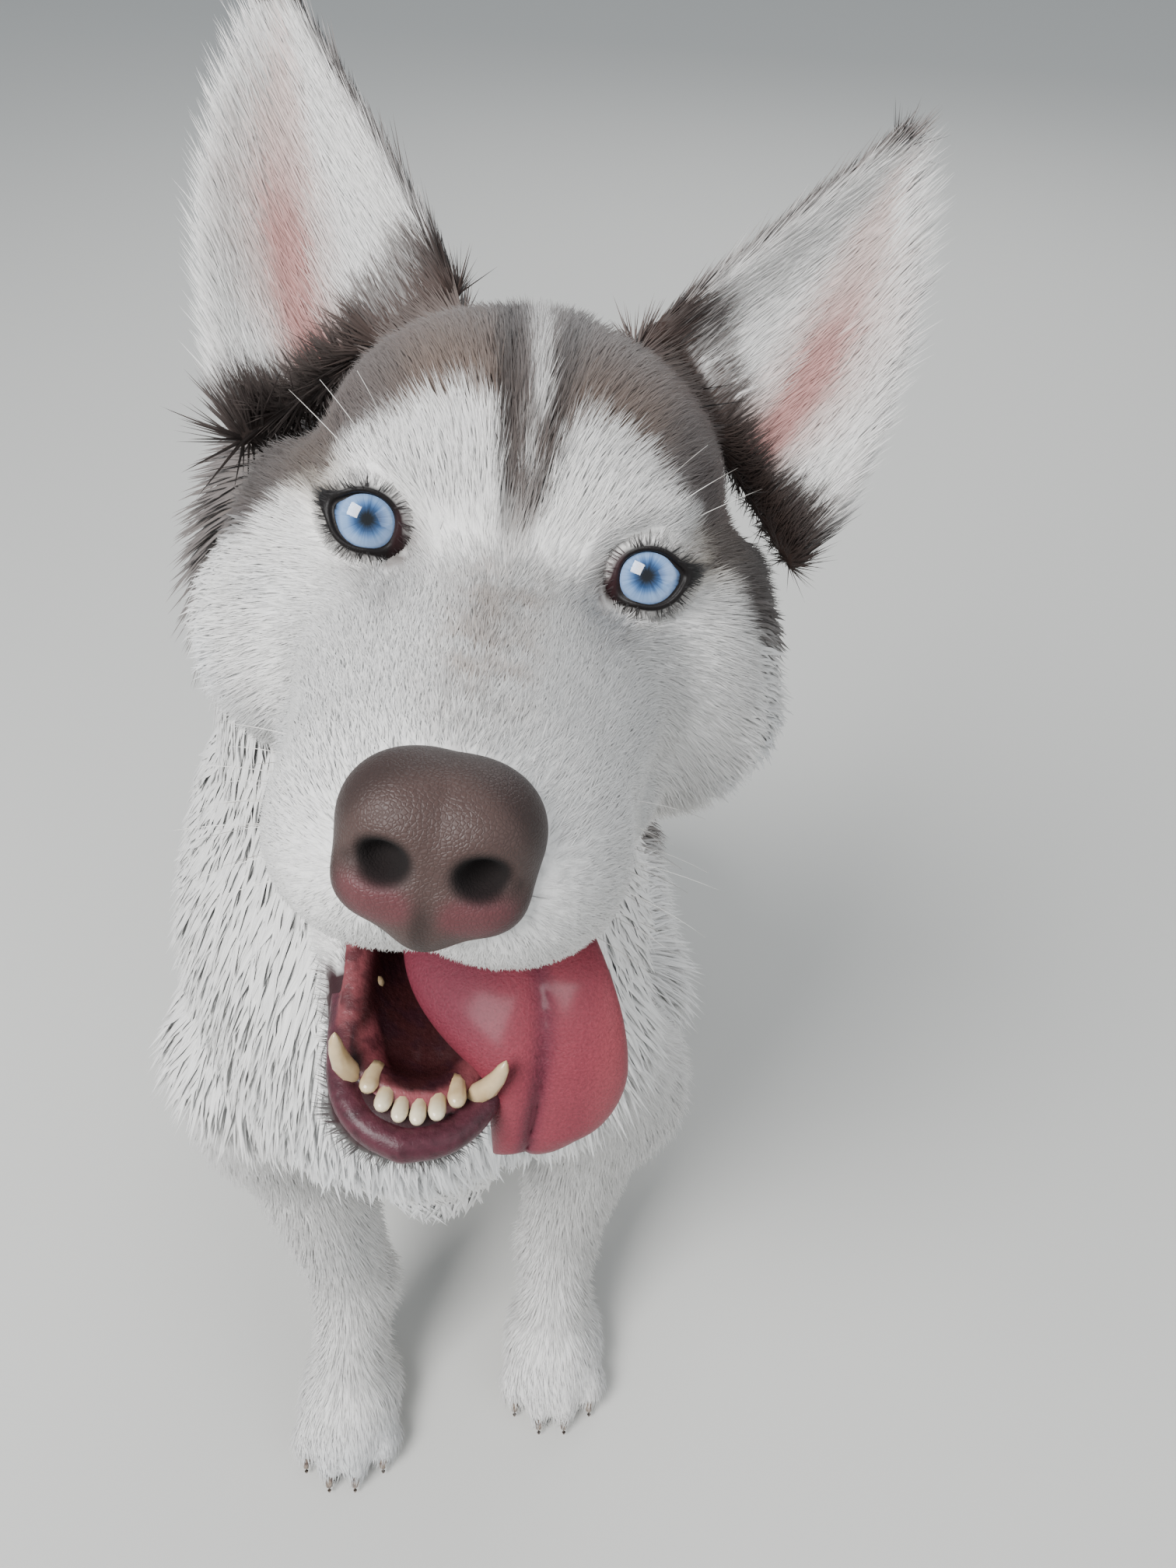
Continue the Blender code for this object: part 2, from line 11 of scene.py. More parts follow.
import bmesh
import bpy
import numpy as np
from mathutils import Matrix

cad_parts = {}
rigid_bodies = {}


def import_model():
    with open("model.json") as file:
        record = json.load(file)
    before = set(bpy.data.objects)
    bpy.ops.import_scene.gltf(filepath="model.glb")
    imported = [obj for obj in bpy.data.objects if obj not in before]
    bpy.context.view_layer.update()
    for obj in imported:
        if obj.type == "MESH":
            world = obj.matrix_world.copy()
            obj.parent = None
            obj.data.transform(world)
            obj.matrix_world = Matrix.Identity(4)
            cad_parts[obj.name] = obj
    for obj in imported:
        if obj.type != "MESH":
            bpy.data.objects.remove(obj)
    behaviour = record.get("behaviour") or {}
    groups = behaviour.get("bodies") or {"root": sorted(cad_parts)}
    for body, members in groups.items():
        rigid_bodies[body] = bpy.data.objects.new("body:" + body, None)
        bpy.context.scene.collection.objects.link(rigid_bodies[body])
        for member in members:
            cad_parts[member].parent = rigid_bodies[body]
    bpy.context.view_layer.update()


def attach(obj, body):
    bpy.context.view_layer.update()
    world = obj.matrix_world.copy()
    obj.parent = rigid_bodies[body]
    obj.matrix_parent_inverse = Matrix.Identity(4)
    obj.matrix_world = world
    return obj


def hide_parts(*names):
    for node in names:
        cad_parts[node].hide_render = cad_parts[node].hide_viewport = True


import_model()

import openvdb
from mathutils import Euler, Matrix, Vector

# %% [markdown]
# ## Colours, nodes and meshes
# A few small tools serve every step: one turns an sRGB hex colour into the linear values that shaders want,
# one adds a node with its settings and links, and one makes a mesh object from arrays. Arrays are quick:
# a coat of a million triangles can't be made face by face. The rest read and write a mesh's values, and close
# a row of rings into a surface.

# %% Small tools
def linear(hex_colour):
    channels = [int(hex_colour[i:i + 2], 16) / 255 for i in (0, 2, 4)]
    return np.array([c / 12.92 if c <= 0.04045 else ((c + 0.055) / 1.055) ** 2.4 for c in channels])


def add(tree, kind, settings=(), inputs=()):
    """Adds a node, with its settings, and with its inputs set or linked by name or number."""
    made = tree.nodes.new(kind)
    for name, value in dict(settings).items():
        setattr(made, name, value)
    for key, value in dict(inputs).items():
        if isinstance(value, bpy.types.NodeSocket):
            tree.links.new(value, made.inputs[key])
        else:
            made.inputs[key].default_value = value
    return made


def mesh_object(name, points, faces, smooth=True):
    """An object at the origin from an array of points and arrays of quads or triangles."""
    faces = [np.asarray(f, np.int32) for f in (faces if isinstance(faces, list) else [faces]) if len(f)]
    mesh = bpy.data.meshes.new(name)
    mesh.vertices.add(len(points))
    mesh.vertices.foreach_set("co", np.asarray(points, np.float32).ravel())
    corners = np.concatenate([f.ravel() for f in faces])
    sizes = np.concatenate([np.full(len(f), f.shape[1]) for f in faces])
    mesh.loops.add(len(corners))
    mesh.loops.foreach_set("vertex_index", corners.astype(np.int32))
    mesh.polygons.add(len(sizes))
    mesh.polygons.foreach_set("loop_start", (np.cumsum(sizes) - sizes).astype(np.int32))
    mesh.update(calc_edges=True)
    mesh.validate()
    if smooth:
        mesh.shade_smooth()
    made = bpy.data.objects.new(name, mesh)
    bpy.context.scene.collection.objects.link(made)
    return made


def store(mesh, name, kind, values):
    """Stores one value for each point of a mesh: FLOAT, FLOAT_VECTOR or FLOAT_COLOR."""
    key = {"FLOAT": "value", "FLOAT_VECTOR": "vector", "FLOAT_COLOR": "color"}[kind]
    made = mesh.attributes.new(name, kind, "POINT")
    made.data.foreach_set(key, np.asarray(values, np.float32).ravel())


def stored(mesh, name, width):
    key = {1: "value", 3: "vector", 4: "color"}[width]
    values = np.zeros(len(mesh.vertices) * width, np.float32)
    mesh.attributes[name].data.foreach_get(key, values)
    return values.reshape(-1, width)


def points_of(mesh):
    values = np.zeros(len(mesh.vertices) * 3, np.float32)
    mesh.vertices.foreach_get("co", values)
    return values.reshape(-1, 3)


def triangles(obj):
    return sum(len(p.vertices) - 2 for p in obj.data.polygons)


def ring_quads(count, rows):
    """The quads between rows rings of count points each."""
    one = np.arange(count)
    two = (one + 1) % count
    return np.concatenate([np.stack((one, two, two + count, one + count), 1) + k * count for k in range(rows - 1)])


def closed(rings, ends):
    """Points, quads and end caps of a tube of rings; ends are the two caps' middles."""
    count, last = len(rings[0]), (len(rings) - 1) * len(rings[0])
    one = np.arange(count)
    two = (one + 1) % count
    middle = np.full(count, len(rings) * count)
    caps = np.concatenate([np.stack((two, one, middle), 1), np.stack((one + last, two + last, middle + 1), 1)])
    return np.concatenate([*rings, ends]), ring_quads(count, len(rings)), caps


# %% [markdown]
# ## Camera, light and floor
# The dog looks up at a camera held above its head, so most of the body is far below. The camera stands at that
# angle. Three large soft lights and a pale sky light it as in a studio, on a plain pale floor.

# %% Camera, lights and floor
TOE_LINE = np.array((0.0, -0.267, 0.0))
CAMERA_AT = TOE_LINE + (0.079, -0.244, 0.770)
CAMERA_DOWN = 43
SENSOR = 36
LENS_TO_FRAME = 1514 / 1512
camera_data = bpy.data.cameras.new("camera")
camera_data.sensor_width = SENSOR
camera_data.sensor_fit = "HORIZONTAL"
camera_data.lens = LENS_TO_FRAME * SENSOR
camera_data.clip_start = 0.02
camera = bpy.data.objects.new("camera", camera_data)
camera.location = CAMERA_AT
camera.rotation_euler = (math.radians(90 - CAMERA_DOWN), 0, 0)
bpy.context.scene.collection.objects.link(camera)
bpy.context.scene.camera = camera


def softbox(name, place, target, size, watts):
    light = bpy.data.lights.new(name, "AREA")
    light.size = size
    light.energy = watts
    made = bpy.data.objects.new(name, light)
    made.location = place
    made.rotation_euler = (Vector(target) - Vector(place)).to_track_quat("-Z", "Y").to_euler()
    bpy.context.scene.collection.objects.link(made)


softbox("key", (-1.1, -1.5, 2.3), (0, -0.15, 0.45), 1.3, 112)
softbox("fill", (1.9, -1.3, 1.4), (0, -0.15, 0.4), 1.8, 14)
softbox("back", (0.6, 1.9, 1.9), (0, 0, 0.4), 1.6, 24)
world = bpy.data.worlds.new("studio")
bpy.context.scene.world = world
world.use_nodes = True
sky = world.node_tree.nodes["Background"]
sky.inputs["Color"].default_value = (0.86, 0.93, 1.0, 1)
sky.inputs["Strength"].default_value = 0.58

floor = mesh_object("floor", [(-6, -6, 0), (6, -6, 0), (6, 6, 0), (-6, 6, 0)], np.array([[0, 1, 2, 3]]), smooth=False)
paper = bpy.data.materials.new("studio paper")
paper.use_nodes = True
matt = paper.node_tree.nodes["Principled BSDF"]
matt.inputs["Base Color"].default_value = (*linear("C9C8C4"), 1)
matt.inputs["Roughness"].default_value = 0.9
floor.data.materials.append(paper)
print("camera at", tuple(round(v, 3) for v in camera.location))

# %% [markdown]
# ## The dog's form as distances
# The solids were shaped with distance functions: each says how far a point is from one rounded mass, and masses
# blend where they meet. The same functions are repeated here, because the skin is the same form a coat's depth
# further in, and because they tell any point which part of the dog it is on. Box modelling or sculpting could
# make the skin as well, but it would have to be matched to the solids by eye.

# %% Distances to rounded masses
def unit(vector):
    vector = np.asarray(vector, float)
    return vector / np.linalg.norm(vector)


LEAN = 0.006
HEAD_AT = np.array((0.0606, -0.010, 0.6244))
HEAD_TURN = np.array(Euler([math.radians(angle) for angle in (-21.5, 11.0, -3.7)], "XYZ").to_matrix())
MM = 0.001


def length(vectors):
    return np.sqrt(np.einsum("ij,ij->i", vectors, vectors))


def limb(points, start, end, r_start, r_end, wide=1.0):
    """Distance to a bar with round ends whose radius changes evenly, made wide times as broad in x."""
    start, end = np.array(start, np.float32), np.array(end, np.float32)
    axis = end - start
    along = np.clip((points - start) @ axis / (axis @ axis), 0, 1)
    off = points - start - along[:, None] * axis
    off[:, 0] /= wide
    return length(off) - (r_start + (r_end - r_start) * along)


def egg(points, centre, radii):
    """Near distance to an ellipsoid."""
    radii = np.array(radii, np.float32)
    scaled = (points - np.array(centre, np.float32)) / radii
    inner = length(scaled)
    return inner * (inner - 1) / np.maximum(length(scaled / radii), 1e-9)


def plane(points, place, normal):
    normal = np.array(Vector(normal).normalized(), np.float32)
    return (points - np.array(place, np.float32)) @ normal


def blend(one, other, width):
    """The union of two distances, filleted over that width."""
    share = np.clip(0.5 + 0.5 * (other - one) / width, 0, 1)
    return other + (one - other) * share - width * share * (1 - share)


def carve(body, tool, width):
    return -blend(-body, tool, width)


def mirrored(points):
    folded = points.copy()
    folded[:, 0] = np.abs(folded[:, 0])
    return folded


def chain(points, route, radii):
    """Distance to a tube of changing radius along a route."""
    form = None
    for start, end, r_start, r_end in zip(route, route[1:], radii, radii[1:]):
        piece = limb(points, start, end, r_start, r_end)
        form = piece if form is None else np.minimum(form, piece)
    return form


# %% [markdown]
# The head is measured in millimetres from a point midway between the eyes, with y running back and z up. The
# head is nearly the same on both sides, so most of it is written once, for the left, and points are folded over.

# %% The head's form
def ear_middle(folded):
    """How far back the middle of the ear's plate lies, cupped to the front."""
    flat = folded * np.array((1, 0, 1), np.float32)
    inner = plane(flat, (30, 0, 61), (-0.74, 0, 0.67))
    outer = length(flat - np.array((-62, 0, 52), np.float32)) - 157
    bottom = plane(flat, (30, 0, 44), (-0.70, 0, -0.71))
    rise = np.clip((folded[:, 2] - 10) / 100, 0, 1)
    gap = np.maximum(-inner, 0) + np.maximum(-outer, 0) + 1
    bowl = 4 * np.maximum(-inner, 0) * np.maximum(-outer, 0) / gap ** 2
    return 74 + 15 * bowl * (1 - 0.75 * rise) + 4 * rise, rise, inner, outer, bottom


def ear(folded):
    middle, rise, inner, outer, bottom = ear_middle(folded)
    plate = np.abs(folded[:, 1] - middle) - (5.6 - 2.2 * rise)
    edge = np.maximum(-blend(-inner, -outer, 7), bottom)
    return -blend(-plate, -edge, 4.0)


def skull(folded):
    form = egg(folded, (0, 62, 8), (57, 60, 47))
    form = blend(form, egg(folded, (0, 36, 4), (45, 36, 29)), 20)
    form = blend(form, egg(folded, (25, 11, 12), (17, 13, 8)), 12)
    form = blend(form, limb(folded, (45, 26, -14), (55, 62, -10), 17, 20), 16)
    form = blend(form, egg(folded, (46, 48, -40), (38, 48, 34)), 26)
    form = blend(form, egg(folded, (40, 80, -50), (38, 34, 42)), 24)
    form = blend(form, limb(folded, (0, 6, -34), (0, -66, -38), 33, 24, 1.06), 18)
    form = blend(form, limb(folded, (28, 16, -29), (14, -62, -36), 20, 17), 16)
    form = blend(form, limb(folded, (0, 10, -23), (0, -86, -28.5), 22, 13), 12)
    form = blend(form, egg(folded, (13, -72, -42), (19, 24, 18)), 12)
    return blend(form, limb(folded, (20, -64, -49), (34, -4, -56), 10, 12), 14)


def lower_jaw(folded):
    form = limb(folded, (29, 18, -76), (10.5, -42, -115.5), 13, 9.5)
    form = blend(form, egg(folded, (0, -50, -120), (18.5, 14, 11)), 8)
    return blend(form, limb(folded, (0, 26, -94), (0, -34, -119), 20, 12), 10)


def mouth_hollow(folded):
    wedge = limb(folded, (0, 8, -72), (0, -92, -90), 8, 22, 1.7)
    return blend(wedge, limb(folded, (0, 12, -77), (0, -44, -103), 11, 8, 1.45), 4)


def head(points):
    folded = mirrored(points)
    form = carve(skull(folded), egg(folded, (32, -10, 0), (11, 8, 6)), 6)
    form = blend(form, lower_jaw(folded), 12)
    form = blend(form, limb(folded, (0, 44, -86), (0, 84, -62), 32, 46, 1.15), 22)
    form = carve(form, mouth_hollow(folded), 4)
    return blend(form, ear(folded), 9)


# %% [markdown]
# The body is measured in metres from a point on the floor between the front toes. It leans a little to the
# dog's left, and one front foot stands behind the other, so the legs are written one by one.

# %% The body's form
FRONT_LEGS = {
    "right": {"side": -1, "elbow": (0.077, 0.088, 0.248), "wrist": (0.058, 0.064, 0.088),
              "paw": (0.0635, 0.018, 0.020)},
    "left": {"side": 1, "elbow": (0.084, 0.096, 0.248), "wrist": (0.061, 0.092, 0.088),
             "paw": (0.0570, 0.049, 0.020)},
}
HIP = (0.062, 0.350, 0.135)
STIFLE = (0.092, 0.226, 0.150)
HOCK = (0.100, 0.385, 0.028)
HIND_PAW = (0.094, 0.242, 0.019)
PAW_SIZE = (0.031, 0.041, 0.023)
TOE_RADIUS = 0.0125
TOE_STEP = 0.0150
CLAWS = ((-1.5, 0.010), (-0.5, 0.0), (0.5, 0.0), (1.5, 0.010))
TAIL = ((0.0, 0.425, 0.084), (-0.006, 0.490, 0.052), (-0.034, 0.556, 0.046), (-0.084, 0.610, 0.040),
        (-0.149, 0.640, 0.017))
TAIL_RADII = (0.044, 0.050, 0.052, 0.044, 0.018)


def paw(points, side, centre):
    x, y, z = side * centre[0], centre[1], centre[2]
    form = egg(points, (x, y + 0.006, z), PAW_SIZE)
    for step, reach in CLAWS:
        toe = (x + step * TOE_STEP, y - PAW_SIZE[1] + reach + TOE_RADIUS + 0.004, 0.0115)
        form = blend(form, egg(points, toe, (0.0110, 0.0160, TOE_RADIUS + 0.0020)), 0.006)
    return form


def front_leg(points, leg):
    side = leg["side"]
    elbow, wrist, foot = ((side * p[0], p[1], p[2]) for p in (leg["elbow"], leg["wrist"], leg["paw"]))
    form = limb(points, (side * 0.056 + LEAN, 0.040, 0.365), elbow, 0.043, 0.046)
    form = blend(form, limb(points, elbow, wrist, 0.039, 0.0250), 0.020)
    return blend(form, limb(points, wrist, (foot[0], foot[1] + 0.016, 0.036), 0.0250, 0.0240), 0.012)


def hind_leg(folded):
    form = limb(folded, HIP, STIFLE, 0.082, 0.052, 0.78)
    form = blend(form, limb(folded, STIFLE, HOCK, 0.042, 0.028), 0.030)
    ankle = (HIND_PAW[0], HIND_PAW[1] + 0.030, 0.023)
    return blend(form, limb(folded, HOCK, ankle, 0.0275, 0.0245), 0.012)


def tail(points):
    form = None
    for start, end, r_start, r_end in zip(TAIL, TAIL[1:], TAIL_RADII, TAIL_RADII[1:]):
        piece = limb(points, start, end, r_start, r_end, 1.05)
        form = piece if form is None else blend(form, piece, 0.004)
    return form


def trunk(folded):
    form = limb(folded, (0, 0.090, 0.380), (0, 0.190, 0.285), 0.104, 0.116, 0.90)
    form = blend(form, limb(folded, (0, 0.034, 0.385), (0, 0.046, 0.286), 0.064, 0.050), 0.050)
    form = blend(form, limb(folded, (0.038, 0.118, 0.440), (0.052, 0.064, 0.360), 0.050, 0.046), 0.040)
    form = blend(form, limb(folded, (0, 0.190, 0.285), (0, 0.315, 0.170), 0.114, 0.104, 0.92), 0.040)
    return blend(form, limb(folded, (0, 0.315, 0.170), (0, 0.378, 0.086), 0.104, 0.092), 0.040)


def neck(points):
    form = limb(points, (0.012, 0.085, 0.425), (0.027, 0.100, 0.540), 0.090, 0.090)
    return blend(form, limb(points, (0.020, 0.040, 0.440), (0.044, 0.056, 0.520), 0.064, 0.058), 0.040)


def to_head(points):
    return ((points - HEAD_AT.astype(np.float32)) @ HEAD_TURN.astype(np.float32)) / MM


def from_head(local):
    """Places in the head's millimetres as world points."""
    return TOE_LINE + HEAD_AT + (np.asarray(local, float) * MM) @ HEAD_TURN.T


def regions(world):
    """The distance in metres from each point to each part of the dog, and the point in both measures."""
    points = (world - TOE_LINE).astype(np.float32)
    folded = mirrored(points - np.array((LEAN, 0, 0), np.float32))
    local = to_head(points)
    near = egg(local, (0, 30, -10), (190, 230, 210)) < 0
    skull_distance = np.full(len(points), 0.1, np.float32)
    skull_distance[near] = head(local[near]) * MM
    return {
        "points": points, "local": local,
        "trunk": trunk(folded), "hind": hind_leg(folded), "hind_paw": paw(folded, 1, HIND_PAW),
        "front": np.minimum(*[front_leg(points, leg) for leg in FRONT_LEGS.values()]),
        "front_paw": np.minimum(*[paw(points, leg["side"], leg["paw"]) for leg in FRONT_LEGS.values()]),
        "tail": tail(points), "neck": neck(points), "head": skull_distance,
    }


def outline(at):
    """Distance to the dog's outline, out to the tips of the coat."""
    form = blend(at["trunk"], blend(at["hind"], at["hind_paw"], 0.012), 0.036)
    form = blend(form, blend(at["front"], at["front_paw"], 0.012), 0.022)
    form = blend(form, at["tail"], 0.025)
    form = blend(form, at["neck"], 0.045)
    return blend(form, at["head"], 0.030)


def step(value, low, high):
    """0 below low, 1 above high, and smooth between; low may be the larger."""
    share = np.clip((value - low) / (high - low), 0, 1)
    return share * share * (3 - 2 * share)


probe = np.array([TOE_LINE + (0, 0.1, 0.36), TOE_LINE + (0, 0.1, 1.2)])
print("inside and outside:", outline(regions(probe)).round(3))

# %% [markdown]
# ## How the coat changes over the body
# A husky's coat is a millimetre deep on the muzzle and more than twenty on the neck. One table gives, for each
# part, the coat's depth and the length and width of its tufts in millimetres. Every point mixes the rows of the
# parts it is near, so no border shows. The head has its own map, because its coat changes within a few
# centimetres.

# %% The coat's table
COAT = {
    "trunk": (19, 46, 2.0), "neck": (20, 44, 1.7), "front": (6, 20, 1.0), "front_paw": (2.4, 9, 0.8),
    "hind": (12, 34, 1.5), "hind_paw": (2.4, 9, 0.9), "tail": (24, 48, 1.9),
}
HEAD_BACK = (-95, -80, -40, -5, 25, 50, 80, 115)
HEAD_COAT = ((0.5, 1.1, 1.4, 2.0, 3.0, 5.0, 8.0, 15.0), (3.5, 5.0, 7.0, 9.0, 13.0, 16.0, 22.0, 34.0),
             (0.42, 0.46, 0.5, 0.5, 0.55, 0.7, 0.9, 1.2))
CHEEK_ROW, EAR_ROW, JAW_ROW, LIP_ROW = (9.0, 20.0, 0.95), (1.5, 10.0, 0.5), (1.6, 6.0, 0.5), (0.6, 3.0)


def mixed(map_low, map_high, share):
    return map_low + (map_high - map_low) * share


def head_coat(local):
    """Depth, length and width in millimetres over the head."""
    folded = mirrored(local)
    x, y, z = folded.T
    rows = np.stack([np.interp(y, HEAD_BACK, measure) for measure in HEAD_COAT], 1)
    cheek = step(x, 44, 66) * step(z, 12, -18) * step(y, 8, 30)
    throat = step(z, -84, -104) * step(y, -20, 30)
    rows = mixed(rows, np.maximum(rows, CHEEK_ROW), np.maximum(cheek, throat)[:, None])
    rows = mixed(rows, EAR_ROW, step(ear(folded), 7.0, 2.0)[:, None])
    rows = mixed(rows, JAW_ROW, (step(lower_jaw(folded), 6.0, 1.0) * step(y, 10, -20))[:, None])
    rows[:, :2] = mixed(rows[:, :2], LIP_ROW, step(mouth_hollow(folded), 5.0, 1.0)[:, None])
    return rows


def coat(at):
    """Depth, length and width of the coat in metres at each point."""
    names = list(COAT) + ["head"]
    pull = np.stack([np.exp(-np.clip(at[name], -0.03, 0.08) / 0.009) for name in names], 1)
    pull /= pull.sum(1, keepdims=True)
    rows = np.stack([np.broadcast_to(COAT[name], (len(pull), 3)) for name in COAT] + [head_coat(at["local"])], 1)
    return np.einsum("ij,ijk->ik", pull, rows) * MM


# %% [markdown]
# ## One skin
# Marching a grid through the distances turns them into one closed surface of quads. The trunk and the legs are
# drawn small in the grid's own space, so that their quads come out larger than the head's, where detail counts.
# The eye sockets are opened wider than the lids, which come next as rings of their own.

# %% The skin's surface
MOUTH_SHIFT = 1.4
LIP = ((33, 10, -80), (27, -8, -92), (20.5, -30, -104), (18.5, -42, -110), (15.5, -52.5, -115.0), (9, -59, -118.4),
       (0, -61.5, -119.5))
LIP_RADII = (2.2, 2.6, 3.0, 3.2, 3.6, 3.9, 4.0)


def rounded(stations, times=2):
    """Cuts the corners off a route, keeping its ends, so that it runs in a curve."""
    route = np.array(stations, float)
    for _ in range(times):
        cut = np.empty((2 * len(route) - 2, route.shape[1]))
        cut[0::2] = 0.75 * route[:-1] + 0.25 * route[1:]
        cut[1::2] = 0.25 * route[:-1] + 0.75 * route[1:]
        route = np.concatenate((route[:1], cut, route[-1:]))
    return route


def from_mouth_middle(local):
    return mirrored(local - np.array((MOUTH_SHIFT, 0, 0), np.float32))


def to_tube(local, route, radii):
    """Distance to a smooth tube that runs the same way on both sides of the mouth."""
    stations = rounded(np.column_stack((route, radii)))
    return chain(from_mouth_middle(local), stations[:, :3], stations[:, 3])


def to_lip(local):
    """Distance to the bare lower lip, along the edge of the jaw."""
    return to_tube(local, LIP, LIP_RADII)


def inside_lips(local):
    """1 between the jaws, inside the lower lip, and 0 outside."""
    route = np.array(LIP, float)[::-1]
    wide = np.interp(local[:, 1], route[:, 1], route[:, 0], left=-9)
    level = np.interp(local[:, 1], route[:, 1], route[:, 2])
    within = step(np.abs(local[:, 0] - MOUTH_SHIFT) - wide, 2.0, 0.0) * step(local[:, 2] - level, -2.0, 0.0)
    return np.maximum(within * step(local[:, 2], -64, -68) * step(local[:, 1], 14, 10), step(to_lip(local), 1.6, 0.8))


SKIN_VOXEL = 0.0025
# Heights above the floor, and how many times as coarse the skin is there
SKIN_COARSER = ((0.0, 1.3), (0.05, 1.4), (0.12, 1.8), (0.38, 1.8), (0.50, 1.0))
SKIN_MIDDLE = 0.15
BLOCK = 4
EYE_AT = (33.5, 9.5, -0.4)
EYE_RADIUS = 11.5


def meshed(field, low, high, voxel):
    """The surface where the field is zero, as points and quads, sampled finely only near it."""
    low, high = np.array(low, float), np.array(high, float)
    blocks = np.ceil((high - low) / (voxel * BLOCK)).astype(int)
    corner = np.stack(np.meshgrid(*[np.arange(n) for n in blocks], indexing="ij"), -1).reshape(-1, 3) * BLOCK
    distance = field(low + (corner + BLOCK / 2) * voxel)
    near = np.abs(distance) < voxel * 1.6 * BLOCK
    grid = np.where(distance < 0, -1.0, 1.0).reshape(blocks)
    for direction in range(3):
        grid = np.repeat(grid, BLOCK, direction)
    values = grid.astype(np.float32) * voxel * 3
    offset = np.stack(np.meshgrid(*[np.arange(BLOCK)] * 3, indexing="ij"), -1).reshape(-1, 3)
    cells = (corner[near][:, None] + offset[None]).reshape(-1, 3)
    values[cells[:, 0], cells[:, 1], cells[:, 2]] = field(low + (cells + 0.5) * voxel)
    volume = openvdb.FloatGrid(background=float(voxel * 3))
    volume.copyFromArray(values)
    points, quads = volume.convertToQuads(isovalue=0.0)
    points = low + (points + 0.5) * voxel
    one, two, three = (points[quads[:, i]] for i in (0, 1, 2))
    facing = np.cross(two - one, three - one)
    outside = field(one + facing / np.maximum(length(facing), 1e-12)[:, None] * voxel)
    inside = field(one - facing / np.maximum(length(facing), 1e-12)[:, None] * voxel)
    return points, quads[:, ::-1] if np.sum(outside > inside) < len(quads) / 2 else quads


def socket(local):
    return egg(mirrored(local), (33.4, -1.0, 0.8), (11.5, 10.0, 9.5)) * MM


def skin(world):
    at = regions(world)
    form = outline(at) + coat(at)[:, 0]
    form = carve(form, socket(at["local"]), 0.002)
    return np.maximum(form, 0.0006 - at["points"][:, 2])


heights = np.arange(-0.02, 0.82, MM)
coarser = np.interp(heights, *zip(*SKIN_COARSER))
levels = np.cumsum(MM / coarser)


def spread_out(points):
    """From the grid's own space, where trunk and legs are drawn small, to places from the toe line."""
    height = np.interp(points[:, 2], levels, heights)
    scale = np.interp(height, heights, coarser)
    return np.stack((points[:, 0] * scale, SKIN_MIDDLE + (points[:, 1] - SKIN_MIDDLE) * scale, height), 1), scale


def drawn_small(points):
    place, scale = spread_out(points)
    return skin(TOE_LINE + place) / scale


skin_points, skin_quads = meshed(drawn_small, (-0.19, -0.17, levels[0]), (0.21, 0.66, levels[-1]), SKIN_VOXEL)
skin_points = np.array(TOE_LINE) + spread_out(skin_points)[0]
print("skin quads", len(skin_quads))

# %% [markdown]
# ## Lids
# A dog's lids are thick dark rims that press on the eyeball. Each is a ring of quads: its inside edge tucks
# under on the ball, the rim stands a millimetre proud, and the outer rings run out into the face. The opening is
# nearly round, with a pointed corner towards the nose and another towards the ear.

# %% The lids' rings
def near_angle(angle, place, spread):
    return np.exp(-(np.angle(np.exp(1j * (angle - math.radians(place)))) / spread) ** 2)


def opening(angle):
    """The half size of the eye's opening in millimetres at each angle, seen from the front."""
    oval = 1 / np.sqrt((np.cos(angle) / 7.2) ** 2 + (np.sin(angle) / 6.1) ** 2)
    return oval + 0.9 * near_angle(angle, 14, 0.30) + 1.1 * near_angle(angle, 222, 0.38)


def rim_width(angle):
    """How wide the bare rim is: thin above and below, drawn out at both corners."""
    return 1.25 + 2.3 * near_angle(angle, 16, 0.27) + 2.2 * near_angle(angle, 217, 0.34)


EYE_MIDDLE = (33.3, 0.9)
LID_STEPS = 72
LID_RINGS = ((-0.9, 0.15, 0.0), (-0.1, 0.25, 0.0), (0.05, 0.7, 0.0), (0.35, 1.25, 0.0), (1.0, 1.5, 0.0),
             (2.2, 1.5, 0.15), (3.8, 1.2, 0.5), (5.6, 0.6, 0.9), (7.6, 0.6, 1.0), (9.6, 0.6, 1.0), (11.4, 0.6, 1.0))


def face_front(x, z):
    """How far forward the bare skin of the face lies at each place, in the head's millimetres."""
    near, far = np.full(len(x), -70.0), np.full(len(x), 45.0)
    for _ in range(18):
        middle = (near + far) / 2
        local = np.stack((x, middle, z), 1).astype(np.float32)
        form = skull(mirrored(local))
        form = carve(form, egg(mirrored(local), (32, -10, 0), (11, 8, 6)), 6) + head_coat(local)[:, 0]
        inside = form < 0
        far, near = np.where(inside, middle, far), np.where(inside, near, middle)
    return far


def lid_rings(side):
    angle = np.arange(LID_STEPS) / LID_STEPS * 2 * math.pi
    rings, marks = [], []
    for out, lift, share in LID_RINGS:
        radius = opening(angle) + np.minimum(out, 1.0) * (rim_width(angle) if out > 0 else 1) + max(out - 1.0, 0)
        lift = lift * (1 + 0.35 * np.sin(angle))
        x, z = EYE_MIDDLE[0] + radius * np.cos(angle), EYE_MIDDLE[1] + radius * np.sin(angle)
        across = (x - EYE_AT[0]) ** 2 + (z - EYE_AT[2]) ** 2
        ball = EYE_AT[1] - np.sqrt(np.maximum((EYE_RADIUS + lift) ** 2 - across, 1.0))
        face = face_front(x, z) + (-0.25 if out < 10 else 1.2)
        y = mixed(ball, face, share)
        rings.append(np.stack((side * x, y, z), 1))
        marks.append(np.full(LID_STEPS, out))
    points = from_head(np.concatenate(rings))
    quads = ring_quads(LID_STEPS, len(LID_RINGS))
    return points, quads[:, ::-1] if side > 0 else quads, np.concatenate(marks)


